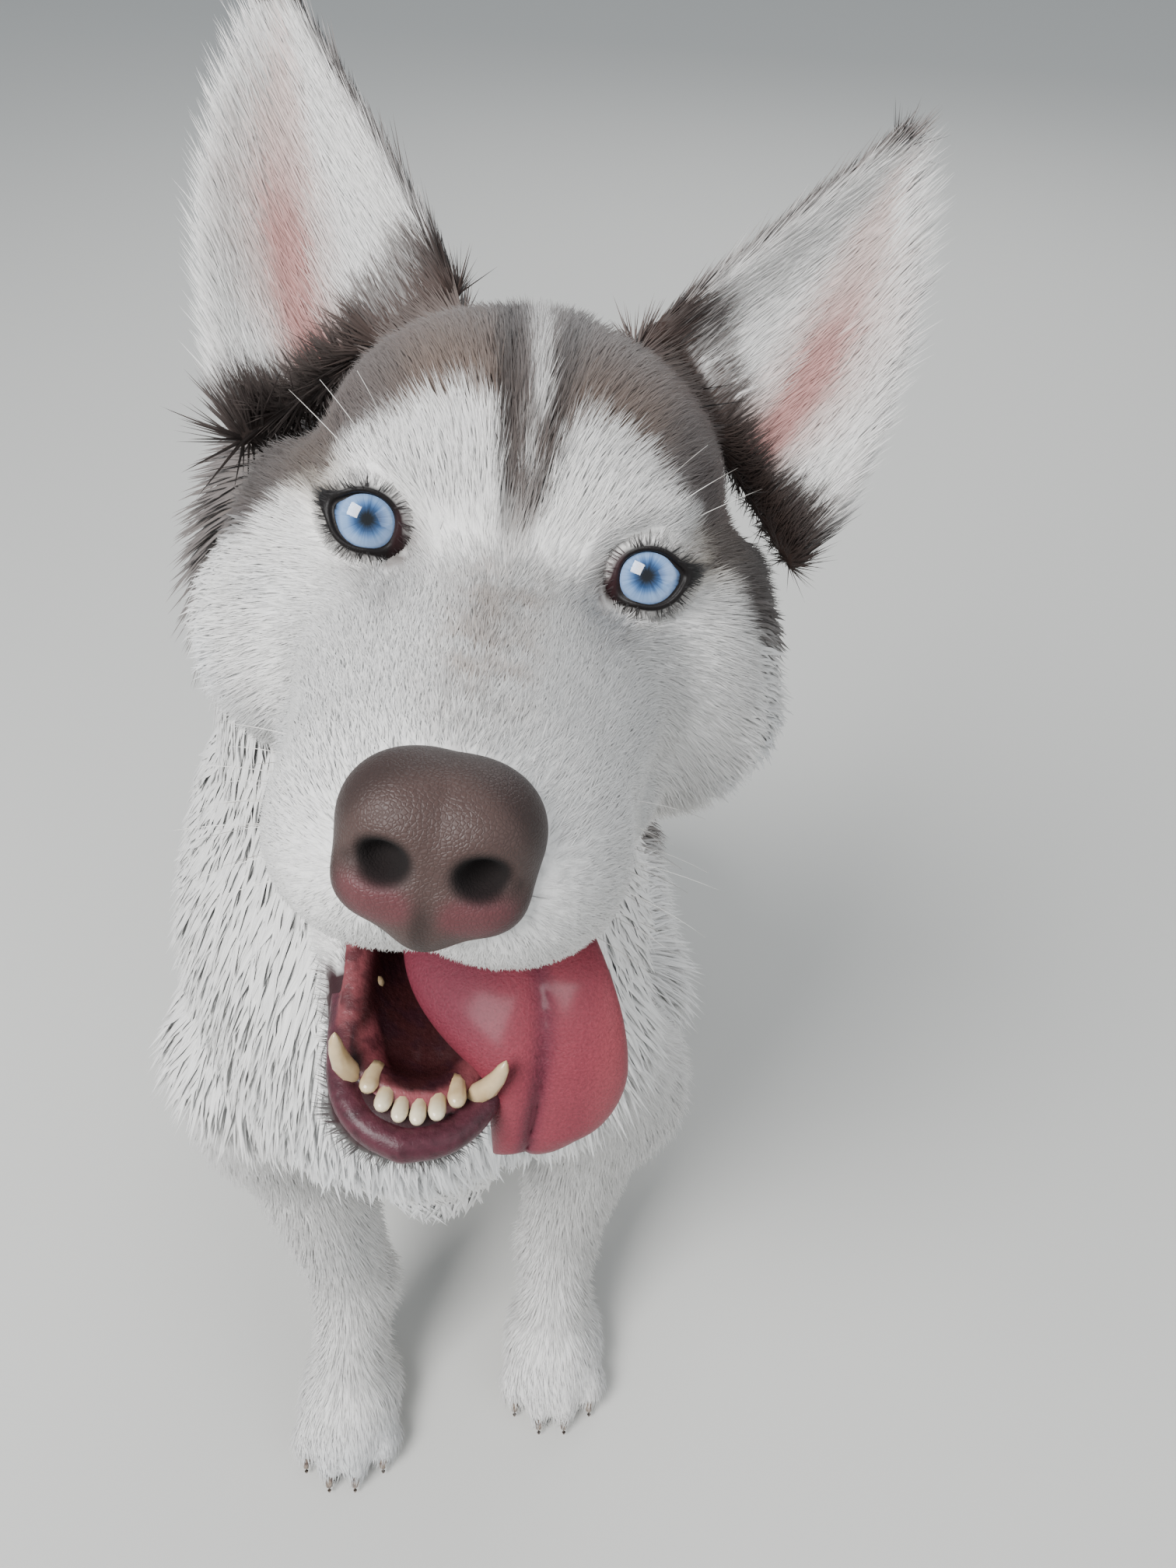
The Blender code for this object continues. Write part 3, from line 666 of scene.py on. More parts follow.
body_points, all_quads, lid_marks = [skin_points], [skin_quads], [np.full(len(skin_points), -99.0)]
for side in (1, -1):
    points, quads, marks = lid_rings(side)
    all_quads.append(quads + sum(len(p) for p in body_points))
    body_points.append(points)
    lid_marks.append(marks)
skin_object = mesh_object("skin", np.concatenate(body_points), np.concatenate(all_quads))
lid_marks = np.concatenate(lid_marks)
print("skin triangles", triangles(skin_object))

# %% [markdown]
# ## Markings
# A husky's markings are a pattern with names: a white mask with two brow spots, a dark widow's peak with a thin
# blaze, a grey-brown mantle over the back, and white below. They are written here as curves and spots measured
# on the head and body, and one function gives the colour at any point. Skin and coat both ask it, so they agree.

# %% The colour at any point
PALETTE = {name: linear(code) for name, code in {
    "white": "F1EFEC", "cool_tint_and_shade": "CCD3DA", "cream": "DCC297", "tan": "B58F70", "brown": "463630", "dark": "1E1512",
    "mantle": "4F433C", "grey": "6E635B", "pink": "B9807A", "pale_pink": "D3B8B0", "lid": "0D0808",
    "tear": "2C171A", "lip": "2E161A",
}.items()}
MASK_EDGE = ((0, 29), (8, 28), (14, 28.5), (22, 26), (30, 20.5), (37, 14.5), (44, 7), (50, 0), (56, -7),
             (62, -14), (68, -21), (74, -30), (79, -42), (84, -56), (92, -76))
NOSE_SHIFT = -1.0
PEAK_WIDTH = ((-8, 0.3), (-2, 1.6), (3, 3.0), (10, 4.4), (19, 5.8), (25, 8.0), (33, 12.0), (37, 22.0))
EAR_FOOT = ((24, 59), (38, 55.5), (46, 49), (51.5, 42), (57, 31), (63, 22.5), (73, 14.5), (81, 4.5), (88, -8))


def ripple(points, scale, seed=0.0):
    """A cheap smooth noise between -1 and 1: a few crossing waves."""
    x, y, z = (points * scale + seed).T
    return (np.sin(x * 1.7 + 1.3 * np.sin(y * 1.1 + z)) + np.sin(y * 1.9 + 1.1 * np.sin(z * 1.3 + x * 0.7))
            + np.sin(z * 2.1 + 1.2 * np.sin(x * 1.2 - y))) / 3


def along_curve(curve, key, value):
    """The curve's second measure where its first is key, for arrays."""
    knots = np.array(curve, float)
    return np.interp(key, knots[:, 0], knots[:, value])


def curve_distance(x, z, curve):
    """Distance in a plane from each point to a polyline."""
    best = np.full(len(x), 1e3)
    for (x0, z0), (x1, z1) in zip(curve, curve[1:]):
        dx, dz = x1 - x0, z1 - z0
        share = np.clip(((x - x0) * dx + (z - z0) * dz) / (dx * dx + dz * dz), 0, 1)
        best = np.minimum(best, np.hypot(x - x0 - share * dx, z - z0 - share * dz))
    return best


def tint(base, colour, share):
    """The base drawn towards a colour, or one of the palette's by name, by a share for each point."""
    colour = PALETTE[colour] if isinstance(colour, str) else colour
    return base + (colour - base) * np.clip(share, 0, 1)[:, None]


def plain(colour, count):
    return np.broadcast_to(PALETTE[colour] if isinstance(colour, str) else colour, (count, 3)).copy()


def eye_distance(local):
    """How far outside the lids' bare rim a point is, in millimetres, seen from the front."""
    x, z = np.abs(local[:, 0]) - EYE_MIDDLE[0], local[:, 2] - EYE_MIDDLE[1]
    angle = np.arctan2(z, x)
    return np.hypot(x, z) - opening(angle) - rim_width(angle)


def head_colour(local):
    x, y, z = local.T
    wide = np.abs(x)
    rough = ripple(local, 0.55) * 1.2 + ripple(local, 1.6, 4.0) * 0.7
    colour = plain("white", len(x))
    # Painted shade: cool grey over the white on the sides of the face, in broken patches
    colour = tint(colour, "cool_tint_and_shade", 0.35 * step(ripple(local, 0.09, 2.0), 0.0, 0.9) * step(wide, 30, 55))
    colour = tint(colour, "tan", 0.42 * step(wide, 14, 5) * step(y, -84, -64) * step(y, -2, -26)
                  * step(z, -24, -15) * step(ripple(local, 0.30, 9.0) + 0.6 * ripple(local, 1.1, 4.0), -0.4, 0.7))
    colour = tint(colour, "cream", 0.55 * np.exp(-((wide - 49) / 8) ** 2 - ((z - 6) / 6) ** 2))
    edge = along_curve(MASK_EDGE, wide, 1)
    over = z - edge + rough * 1.6
    capped = step(over, -2.5, 3.5)
    behind = step(y, 62, 74) * step(wide, 88, 60) * step(z, -40, -10)
    capped = np.maximum(capped, behind)
    lean = (z - 20) * -0.06
    peak = step(np.abs(x - 0.8 - lean) + rough * 0.5, along_curve(PEAK_WIDTH, z, 1) + 0.8,
                along_curve(PEAK_WIDTH, z, 1) - 1.2) * step(z, -9, 0) * step(y, 60, 40)
    brown = np.maximum(capped, peak * step(z, -4, 12))
    colour = tint(colour, "brown", brown * 0.93)
    colour = tint(colour, "grey", brown * 0.55 * step(ripple(local, 0.8, 7.0), 0.1, 0.9))
    colour = tint(colour, "tan", brown * 0.16 * step(z, 50, 30) * step(wide, 4, 12) * step(wide, 34, 20))
    first = np.abs(x - np.interp(z, (-2, 3, 11, 19, 27, 35, 43, 51), (-1.5, -2.4, -3.5, -4.6, -5.6, -6.8, -7.4, -9)))
    second = np.abs(x - np.interp(z, (4, 12, 20, 28, 36, 44, 51), (6.1, 5.4, 4.8, 4.5, 4.2, 4.6, 5)))
    colour = tint(colour, "dark", 0.80 * step(first + rough * 0.4, np.interp(z, (0, 20, 45), (1.5, 2.6, 4.2)), 0.5)
                  * step(z, -5, 6) * step(y, 70, 50))
    colour = tint(colour, "dark", 0.60 * step(second + rough * 0.4, np.interp(z, (0, 20, 45), (1.0, 2.2, 3.4)), 0.4)
                  * step(z, 4, 14) * step(y, 70, 50))
    blaze = np.abs(x - np.interp(z, (13, 20, 28, 36, 43, 50), (1.6, 1.2, 0.6, -0.3, -1.6, -2.6)))
    colour = tint(colour, "white", 0.9 * step(blaze + rough * 0.25, np.interp(z, (12, 25, 45), (0.8, 1.7, 2.6)), 0.5)
                  * step(z, 10, 18) * step(z, 56, 50))
    streaky = step(ripple(local * (3.2, 1, 0.5), 0.7, 6.0), -0.3, 0.6)
    smudge = np.exp(-(x / 8.5) ** 2 - ((z + 8) / 10) ** 2) * step(y, 60, 30)
    colour = tint(colour, "grey", 0.80 * smudge * (0.25 + 0.75 * streaky))
    temple = step(over, 0, 6) * step(wide, 52, 66)
    colour = tint(colour, "dark", 0.50 * temple)
    foot = curve_distance(wide, z, EAR_FOOT)
    colour = tint(colour, "brown", 0.90 * step(foot + rough, 15.0, 9.0) * step(y, 38, 50))
    colour = tint(colour, "dark", 0.60 * step(foot + rough, 8.0, 1.5) * step(y, 46, 58))
    # Painted shade: the skin behind the nose pad is near black, where it shows through the nostrils
    under_nose_shade = egg(mirrored(local - (NOSE_SHIFT, 0, 0)), (0, -94, -31.5), (16.4, 13.4, 15.0))
    colour = tint(colour, "lid", step(under_nose_shade, 0.8, -0.8))
    colour = tint(colour, "dark", 0.90 * step(to_lip(local) + rough * 0.3, 4.4, 2.6) * step(y, -24, -40))
    gap = eye_distance(local)
    facing = step(y, 26, 18)
    inner = np.exp(-((wide - 21.0) / 4.0) ** 2 - ((z + 2.5) / 4.6) ** 2) * facing
    above, fine = step(z, -1, 4), ripple(local, 2.3, 8.0)
    colour = tint(colour, "brown", (0.42 + 0.25 * fine) * step(gap + rough * 0.6, mixed(4.4, 2.6, above), 0.2) * facing)
    colour = tint(colour, "dark", (0.50 + 0.35 * fine) * step(gap, mixed(0.6, 1.1, above), 0.0) * facing)
    colour = tint(colour, "brown", (0.70 + 0.30 * fine) * inner)
    outer = np.exp(-((wide - 45.5) / 2.6) ** 2 - ((z - 3.2) / 1.6) ** 2) * facing
    colour = tint(colour, "dark", 0.75 * outer)
    under = np.exp(-((wide - 27) / 7) ** 2 - ((z + 10) / 5.0) ** 2) * step(fine, -0.4, 0.7)
    colour = tint(colour, "brown", 0.72 * under * facing)
    return colour


def ear_colour(local, colour):
    """The ears: brown behind, white fur round a bare pink middle in front."""
    folded = mirrored(local)
    middle, rise, inner, outer, bottom = ear_middle(folded)
    on_ear = step(ear(folded), 7.0, 2.5) * step(bottom, -8, -14)
    wide, z = folded[:, 0], folded[:, 2]
    rough = ripple(local, 0.4, 5.0)
    front = plain("white", len(colour))
    bare = np.abs(wide - np.interp(z, (20, 30, 42, 60, 80), (62, 66, 71, 74.5, 76)))
    width = np.interp(z, (10, 30, 60, 85, 100), (5, 9, 8, 4, 0.5))
    front = tint(front, "pale_pink", 0.75 * step(bare + rough * 2, width * 2.2, width * 0.6))
    front = tint(front, "pink", 0.85 * step(bare + rough * 1.5, width, width * 0.35) * step(z, 84, 50))
    front = tint(front, "brown", 0.85 * step(inner + rough, -5.5, -2.0) * step(z, 34, 60))
    front = tint(front, "brown", 0.80 * step(outer + rough, -4.0, -1.5) * step(z, 84, 98))
    front = tint(front, "brown", 0.85 * step(z + rough * 2, 100, 107))
    back = plain("brown", len(colour))
    back = tint(back, "dark", 0.5 * step(rough, -0.2, 0.8))
    foot = curve_distance(wide, z, EAR_FOOT)
    front = tint(front, "brown", 0.90 * step(foot + rough, 3.5, 1.0))
    behind = step(folded[:, 1] - middle, -1.0, 1.5)[:, None]
    both = front + (back - front) * behind
    return colour + (both - colour) * on_ear[:, None]


def body_colour(points):
    """White below and in front, a grey-brown mantle over neck, back, rump and the top of the tail."""
    x, y, z = points.T
    rough = ripple(points, 46.0) * 0.010 + ripple(points, 120.0, 3.0) * 0.004
    colour = plain("white", len(x))
    colour = tint(colour, "cool_tint_and_shade", 0.30 * step(ripple(points, 21.0, 1.0), 0.0, 0.9))
    spine = np.array(((0, 0.13, 0.60), (0, 0.125, 0.43), (0, 0.19, 0.285), (0, 0.315, 0.17), (0, 0.40, 0.10)))
    height = np.interp(y, spine[1:, 1], spine[1:, 2])
    over = np.where(z > 0.42, y - np.interp(z, (0.40, 0.50, 0.60), (0.150, 0.115, 0.095)), z - height - 0.015)
    over = np.where((z > 0.30) & (z <= 0.42), np.maximum(y - np.interp(z, (0.30, 0.42), (0.215, 0.150)), 0.0) +
                    np.minimum(z - height - 0.015, 0.02), over)
    mantle = step(over + rough, -0.012, 0.020) * step(z, 0.03, 0.09)
    colour = tint(colour, "mantle", 0.92 * mantle)
    ridge = step(np.abs(x - LEAN), 0.06, 0.01)
    colour = tint(colour, "dark", 0.50 * mantle * ridge * step(ripple(points, 30.0), -0.4, 0.5))
    colour = tint(colour, "grey", 0.6 * mantle * step(ripple(points, 75.0, 2.0), 0.0, 0.9))
    tail_top = step(z + rough, 0.045, 0.075) * step(y, 0.44, 0.47)
    colour = tint(colour, "mantle", 0.85 * tail_top)
    return colour


STREAK = ((-106, 118, -126), (-88, 88, -136), (-68, 66, -151), (-50, 54, -178), (-44, 56, -205))
FAINT = ((66, 89, -167), (84, 84, -150), (96, 92, -138))


def markings(world):
    """The colour of the coat at each point, linear."""
    at = regions(world)
    colour = body_colour(at["points"])
    local = at["local"]
    rough = ripple(local, 0.2) * 3
    streak = chain(local, STREAK, (9, 9, 8, 6, 4)) + rough
    colour = tint(colour, "mantle", 0.72 * step(streak, 7, -4))
    colour = tint(colour, "grey", 0.45 * step(chain(local, FAINT, (4, 5, 5)) + rough, 7, -3))
    edge = along_curve(MASK_EDGE, np.abs(local[:, 0]), 1)
    ruff = step(local[:, 2] - edge + rough * 2, -6, 8) * step(local[:, 1], 15, 40) * step(local[:, 2], -75, -50)
    colour = tint(colour, "brown", 0.88 * ruff)
    colour = tint(colour, "grey", 0.45 * ruff * step(ripple(local, 0.5, 2.0), 0.0, 0.8))
    near = at["head"] < 0.012
    share = step(at["head"] - np.minimum(at["neck"], at["trunk"]), 0.012, -0.012)[near]
    own = ear_colour(local[near], head_colour(local[near]))
    colour[near] += (own - colour[near]) * share[:, None]
    return np.clip(colour, 0, 1)


bare_local = to_head(points_of(skin_object.data) - TOE_LINE)
skin_colour = markings(points_of(skin_object.data))
rim = (lid_marks > -90) & (lid_marks < 1.1)
inner_corner = step(np.abs(bare_local[:, 0]), 27.5, 25.0)
skin_colour[rim] = tint(plain("lid", rim.sum()), "tear", inner_corner[rim])
hollow = mouth_hollow(mirrored(to_head((points_of(skin_object.data) - TOE_LINE).astype(np.float32))))
lined = np.maximum(step(hollow, 2.4, 0.8), inside_lips(bare_local))
skin_colour = tint(skin_colour, "lip", lined)
wet = np.maximum(lined, rim.astype(float))
store(skin_object.data, "markings", "FLOAT_COLOR", np.column_stack((skin_colour, wet)))
print("mean skin colour", skin_colour.mean(0).round(3))

# %% [markdown]
# ## Skin and coat materials
# The skin under a short coat shows as fine fur lying flat, so its material is mostly a bump of fine streaks over
# the markings. Bare rims are smoother and wetter, and the markings' fourth channel says where. The coat's
# material reads a colour stored on each tuft and draws single hairs along it.

# %% Skin and coat materials
def new_material(name):
    made = bpy.data.materials.new(name)
    made.use_nodes = True
    made.node_tree.nodes.clear()
    tree = made.node_tree
    shader = add(tree, "ShaderNodeBsdfPrincipled")
    output = add(tree, "ShaderNodeOutputMaterial", inputs={"Surface": shader.outputs["BSDF"]})
    output.location.x = 400
    return made, tree, shader


def bump(tree, shader, height, strength, distance):
    made = add(tree, "ShaderNodeBump", inputs={"Height": height, "Strength": strength, "Distance": distance})
    tree.links.new(made.outputs["Normal"], shader.inputs["Normal"])


def grain(scale, detail=2.0, roughness=0.5):
    """A pattern of fine noise, its scale in the metres of Object coordinates."""
    def pattern(tree):
        place = add(tree, "ShaderNodeTexCoord")
        return add(tree, "ShaderNodeTexNoise", inputs={
            "Vector": place.outputs["Object"], "Scale": scale, "Detail": detail, "Roughness": roughness}).outputs["Fac"]
    return pattern


def strands(tree):
    """Noise along the strand attribute: single hairs across each tuft's width."""
    hair = add(tree, "ShaderNodeAttribute", {"attribute_name": "strand"})
    return add(tree, "ShaderNodeTexNoise", inputs={
        "Vector": hair.outputs["Vector"], "Scale": 1.0, "Detail": 1.0}).outputs["Fac"]


def marked_material(name, pattern, span, tones, relief, values, moist=None):
    """The stored markings times a pattern, which goes from tones[0] to tones[1] over its span and raises the
    surface by relief; moist gives the roughness where the markings' fourth channel is 0 and where it is 1."""
    made, tree, shader = new_material(name)
    mark = add(tree, "ShaderNodeAttribute", {"attribute_name": "markings"})
    height = pattern(tree)
    tone = add(tree, "ShaderNodeMapRange", inputs={0: height, 1: span[0], 2: span[1], 3: tones[0], 4: tones[1]})
    shade = add(tree, "ShaderNodeVectorMath", {"operation": "SCALE"},
                {0: mark.outputs["Color"], "Scale": tone.outputs["Result"]})
    tree.links.new(shade.outputs["Vector"], shader.inputs["Base Color"])
    if moist:
        rough = add(tree, "ShaderNodeMapRange", inputs={0: mark.outputs["Alpha"], 3: moist[0], 4: moist[1]})
        tree.links.new(rough.outputs["Result"], shader.inputs["Roughness"])
    for key, value in values.items():
        shader.inputs[key].default_value = value
    bump(tree, shader, height, *relief)
    return made


# Short flat fur on hide: matt, with streaks about half a millimetre apart; bare rims are moist
hide = marked_material("hide with short fur", grain(1900.0, 3.0), (0.3, 0.7), (0.86, 1.0), (0.25, 0.0003),
                       {"Specular IOR Level": 0.25}, moist=(0.85, 0.50))
skin_object.data.materials.append(hide)

# Guard hair and underfur: dry keratin, softly shiny along the hair
fur = marked_material("guard hair and underfur", strands, (0.32, 0.68), (0.74, 1.06), (0.35, 0.0004),
                      {"Roughness": 0.62, "Specular IOR Level": 0.35, "Sheen Weight": 0.15})
print("materials", hide.name, "and", fur.name)

# %% [markdown]
# ## The lie of the coat
# Hair grows in a stream over the body: back along the muzzle, up and out over the brow, away from the eyes,
# down the neck and chest, back over the flanks, towards the toes and along the tail. This function gives that
# direction at any point, mixed between parts as the coat's depth is.

# %% The lie of the coat
def head_lie(local):
    x, y, z = local.T
    side, wide = np.sign(x), np.abs(x)
    even = np.ones(len(x))
    muzzle = np.stack((side * 0.10 * even, even, np.where(z > -30, 0.02, -0.25)), 1)
    brow = np.stack((x / 26, 0.55 * even, 1.0 * even), 1)
    crown = np.stack((x / 90, even, 0.10 * even), 1)
    cheek = np.stack((side * 0.45, 0.9 * even, -0.50 * even), 1)
    jaw = np.stack((side * 0.1, even, -0.35 * even), 1)
    high = step(z, -4, 10) * step(y, 70, 45)
    lie = crown * (1 - high)[:, None] + brow * high[:, None]
    lower = step(z, 6, -14)[:, None]
    lie = lie * (1 - lower) + cheek * lower
    front = (step(y, -8, -28) * step(z, -84, -76))[:, None]
    lie = lie * (1 - front) + muzzle * front
    below = step(z, -78, -90)[:, None]
    lie = lie * (1 - below) + jaw * below
    away = np.stack((side * (wide - EYE_MIDDLE[0]), 0.25 * even * wide, z - EYE_MIDDLE[1] - 1.5), 1)
    away /= np.maximum(length(away), 1e-6)[:, None]
    around = (np.exp(-np.maximum(eye_distance(local), 0) / 7.0) * step(y, 32, 22))[:, None]
    lie = lie * (1 - 0.9 * around) + away * 0.9 * around
    folded = mirrored(local)
    middle, rise, inner, outer, bottom = ear_middle(folded)
    on_ear = (step(ear(folded), 7.0, 2.5) * step(bottom, 2, -8))[:, None]
    up_ear = np.stack((side * np.where(y < middle, 0.75, 0.30), 0 * even, even), 1)
    return lie * (1 - on_ear) + up_ear * on_ear


def lie_of_coat(at):
    points = at["points"]
    x, y, z = (points - np.array((LEAN, 0, 0))).T
    even = np.ones(len(x))
    front = step(y, 0.09, 0.03)
    lies = {
        "trunk": np.stack((x * 2.0, 0.75 * (1 - front) - 0.05, -0.8 * even), 1),
        "neck": np.stack((x * 3.0, 0.35 - 0.5 * front, -even), 1),
        "front": np.stack((0 * x, 0.15 * even, -even), 1),
        "front_paw": np.stack((0 * x, -even, -0.45 * even), 1),
        "hind": np.stack((0 * x, np.where(z > 0.07, 0.15, -0.9), np.where(z > 0.07, -1.0, -0.3)), 1),
        "hind_paw": np.stack((0 * x, -even, -0.30 * even), 1),
        "tail": np.where((y > 0.55)[:, None], (-0.85, 0.5, -0.05), (-0.25, 1.0, -0.25)),
        "head": head_lie(at["local"]) @ HEAD_TURN.T,
    }
    pull = np.stack([np.exp(-np.clip(at[name], -0.03, 0.08) / 0.007) for name in lies], 1)
    pull /= pull.sum(1, keepdims=True)
    return np.einsum("ij,ijk->ik", pull, np.stack(list(lies.values()), 1)), pull, list(lies)


skin_at = regions(points_of(skin_object.data))
lie, pull, pull_names = lie_of_coat(skin_at)
measures = coat(skin_at)
normals = np.zeros(len(lie) * 3, np.float32)
skin_object.data.vertex_normals.foreach_get("vector", normals)
normals = normals.reshape(-1, 3)
lie -= np.einsum("ij,ij->i", lie, normals)[:, None] * normals
lie /= np.maximum(length(lie), 1e-6)[:, None]
store(skin_object.data, "lie", "FLOAT_VECTOR", lie)
print("lie of the coat stored at", len(lie), "points")

# %% [markdown]
# ## Tufts
# One hair is far too fine to model, so the coat is made of tufts: slim closed blades of a few faces, broad at the
# sunken root and pointed at the tip. A short tuft is a straight cone of four faces, a long one has a ring half
# way and so can bend.
# Each kind comes in five shapes that sweep to the left or right. They are one unit long, and Geometry Nodes
# will scale them.

# %% The tufts' shapes
def tuft_shape(name, rings, sweep, thick):
    """A closed blade along y: rings of three points, each (along, height, width), from the root on, then the tip."""
    points, side, along = [], [], []
    for at, high, wide in rings:
        shift = sweep * at ** 1.6
        low = high - thick
        points += [(shift - wide / 2, at, low), (shift + wide / 2, at, low), (shift, at, high + thick)]
        side += [-1, 1, 0]
        along += [at] * 3
    points.append((sweep, 1, 1.0))
    side.append(0)
    along.append(1)
    tip = len(points) - 1
    quads = []
    for a in range(0, tip - 3, 3):
        quads += [(a + 1, a, a + 3, a + 4), (a + 2, a + 1, a + 4, a + 5), (a, a + 2, a + 5, a + 3)]
    a = tip - 3
    faces = [(0, 1, 2), (a + 1, a, tip), (a + 2, a + 1, tip), (a, a + 2, tip)]
    made = mesh_object(name, points, [np.array(faces)] + ([np.array(quads)] if quads else []))
    store(made.data, "side", "FLOAT", side)
    store(made.data, "along", "FLOAT", along)
    return made


def tuft_family(name, rings, thick):
    family = bpy.data.collections.new(name)
    for number, sweep in enumerate((-2.2, -1.0, 0.1, 1.1, 2.0)):
        shape = tuft_shape(f"{name}_{number}", rings, sweep, thick)
        bpy.context.scene.collection.objects.unlink(shape)
        family.objects.link(shape)
    return family


SHORT = tuft_family("short_tuft", ((0.0, -0.15, 1.0),), 0.10)
LONG = tuft_family("long_tuft", ((0.0, -0.05, 0.8), (0.55, 0.78, 1.0)), 0.025)

# %% [markdown]
# ## A tree that grows a coat
# The tree scatters points over the skin, thickest where the skin's thickness attribute says, turns a tuft at each
# point so that it stands on the skin and lies with the coat, sizes it from the skin's own measures with some
# chance, and notes where its root is. Realize Instances makes plain mesh of it. Hair curves would be quicker to
# draw, but they aren't mesh and would be lost when the model is passed on.

# %% The coat's tree
def coat_tree():
    tree = bpy.data.node_groups.new("grow a coat", "GeometryNodeTree")
    for name, kind in (("Skin", "NodeSocketGeometry"), ("Tufts per square metre", "NodeSocketFloat"),
                       ("Scatter of lie", "NodeSocketFloat"), ("Seed", "NodeSocketInt"),
                       ("Shapes", "NodeSocketCollection"), ("Hair", "NodeSocketMaterial")):
        tree.interface.new_socket(name, in_out="INPUT", socket_type=kind)
    tree.interface.new_socket("Coat", in_out="OUTPUT", socket_type="NodeSocketGeometry")
    given = add(tree, "NodeGroupInput").outputs

    def own(name, kind="FLOAT"):
        return add(tree, "GeometryNodeInputNamedAttribute", {"data_type": kind}, {"Name": name}).outputs["Attribute"]

    def chance(low, high, offset):
        seed = add(tree, "ShaderNodeMath", {"operation": "ADD"}, {0: given["Seed"], 1: float(offset)})
        made = add(tree, "FunctionNodeRandomValue", {"data_type": "FLOAT"}, {2: low, 3: high, "Seed": seed.outputs[0]})
        return made.outputs[1]

    def times(one, other):
        return add(tree, "ShaderNodeMath", {"operation": "MULTIPLY"}, {0: one, 1: other}).outputs[0]

    scattered = add(tree, "GeometryNodeDistributePointsOnFaces", {"distribute_method": "RANDOM"}, {
        "Mesh": given["Skin"], "Density": times(own("thickness"), given["Tufts per square metre"]),
        "Seed": given["Seed"]})
    stray = add(tree, "ShaderNodeCombineXYZ", inputs={0: chance(-1.0, 1.0, 11), 1: chance(-1.0, 1.0, 12),
                                                       2: chance(-1.0, 1.0, 13)})
    swerve = add(tree, "ShaderNodeVectorMath", {"operation": "SCALE"},
                 {0: stray.outputs[0], "Scale": given["Scatter of lie"]})
    direction = add(tree, "ShaderNodeVectorMath", {"operation": "ADD"}, {0: own("lie", "FLOAT_VECTOR"),
                                                                          1: swerve.outputs[0]})
    turned = add(tree, "FunctionNodeAxesToRotation", {"primary_axis": "Z", "secondary_axis": "Y"}, {
        "Primary Axis": scattered.outputs["Normal"], "Secondary Axis": direction.outputs[0]})
    scale = add(tree, "ShaderNodeCombineXYZ", inputs={
        0: times(own("wide"), chance(0.6, 1.35, 1)), 1: times(own("reach"), chance(0.65, 1.25, 2)),
        2: times(own("rise"), chance(0.45, 1.15, 3))})
    shapes = add(tree, "GeometryNodeCollectionInfo", {"transform_space": "ORIGINAL"}, {
        "Collection": given["Shapes"], "Separate Children": True, "Reset Children": True})
    planted = add(tree, "GeometryNodeInstanceOnPoints", inputs={
        "Points": scattered.outputs["Points"], "Instance": shapes.outputs[0], "Pick Instance": True,
        "Rotation": turned.outputs[0], "Scale": scale.outputs[0]})
    noted = planted.outputs[0]
    for name, kind, value in (("root", "FLOAT_VECTOR", add(tree, "GeometryNodeInputPosition").outputs[0]),
                              ("up", "FLOAT_VECTOR", scattered.outputs["Normal"]),
                              ("chance", "FLOAT", chance(0.0, 1.0, 4))):
        noted = add(tree, "GeometryNodeStoreNamedAttribute", {"data_type": kind, "domain": "INSTANCE"},
                    {"Geometry": noted, "Name": name, "Value": value}).outputs[0]
    real = add(tree, "GeometryNodeRealizeInstances", inputs={"Geometry": noted})
    painted = add(tree, "GeometryNodeSetMaterial", inputs={"Geometry": real.outputs[0], "Material": given["Hair"]})
    add(tree, "NodeGroupOutput", inputs={0: painted.outputs[0]})
    return tree


COAT_TREE = coat_tree()


def grown(bed, tree, values):
    """The bed's evaluated result under a tree, as a plain mesh; the modifier's inputs are set by identifier."""
    modifier = bed.modifiers.new("coat", "NODES")
    modifier.node_group = tree
    for socket_item in tree.interface.items_tree:
        if socket_item.item_type == "SOCKET" and socket_item.name in values:
            modifier[socket_item.identifier] = values[socket_item.name]
    result = bed.evaluated_get(bpy.context.evaluated_depsgraph_get())
    mesh = bpy.data.meshes.new_from_object(result)
    bed.modifiers.clear()
    return mesh


print("coat tree has", len(COAT_TREE.nodes), "nodes")

# %% [markdown]
# ## Unwrapping the coat
# Each tuft needs its own small patch of the coat's UV map, at its root's place on an unwrap of the skin. The
# unwrap is worked out from the root: rolled off a line down the middle of a leg or the trunk, or spread round
# the muzzle for the head. A patch is three thousandths across.

# %% Unwraps
PATCH = 0.003


def rolled(points, start, end):
    """Rolls the skin round a line off onto a sheet: the angle round it and the way along it."""
    start, end = np.array(start, float), np.array(end, float)
    axis = (end - start) / np.linalg.norm(end - start)
    across = np.cross(axis, (0.0, 0.3, 1.0) if abs(axis[0]) > 0.5 else (1.0, 0.0, 0.0))
    across /= np.linalg.norm(across)
    third = np.cross(axis, across)
    off = points - start
    return np.stack((np.arctan2(off @ across, off @ third), off @ axis), 1)


def spread_from_muzzle(points):
    off = to_head(points) - (0, 40, -20)
    away = np.arccos(np.clip(-off[:, 1] / np.maximum(length(off), 1e-6), -1, 1))
    round_it = np.arctan2(off[:, 2], off[:, 0])
    return np.stack((away * np.cos(round_it), away * np.sin(round_it)), 1)


def ear_sheets(points):
    """Both sides of both ears, side by side."""
    local = to_head(points)
    middle = ear_middle(mirrored(local))[0]
    behind = (local[:, 1] > middle).astype(float)
    return np.stack((local[:, 0] + 240 * behind, local[:, 2]), 1)


def fitted(sheet):
    """The unwrap fitted to the map with a margin."""
    low, high = sheet.min(0), sheet.max(0)
    return 0.01 + 0.98 * (sheet - low) / np.maximum(high - low, 1e-9)
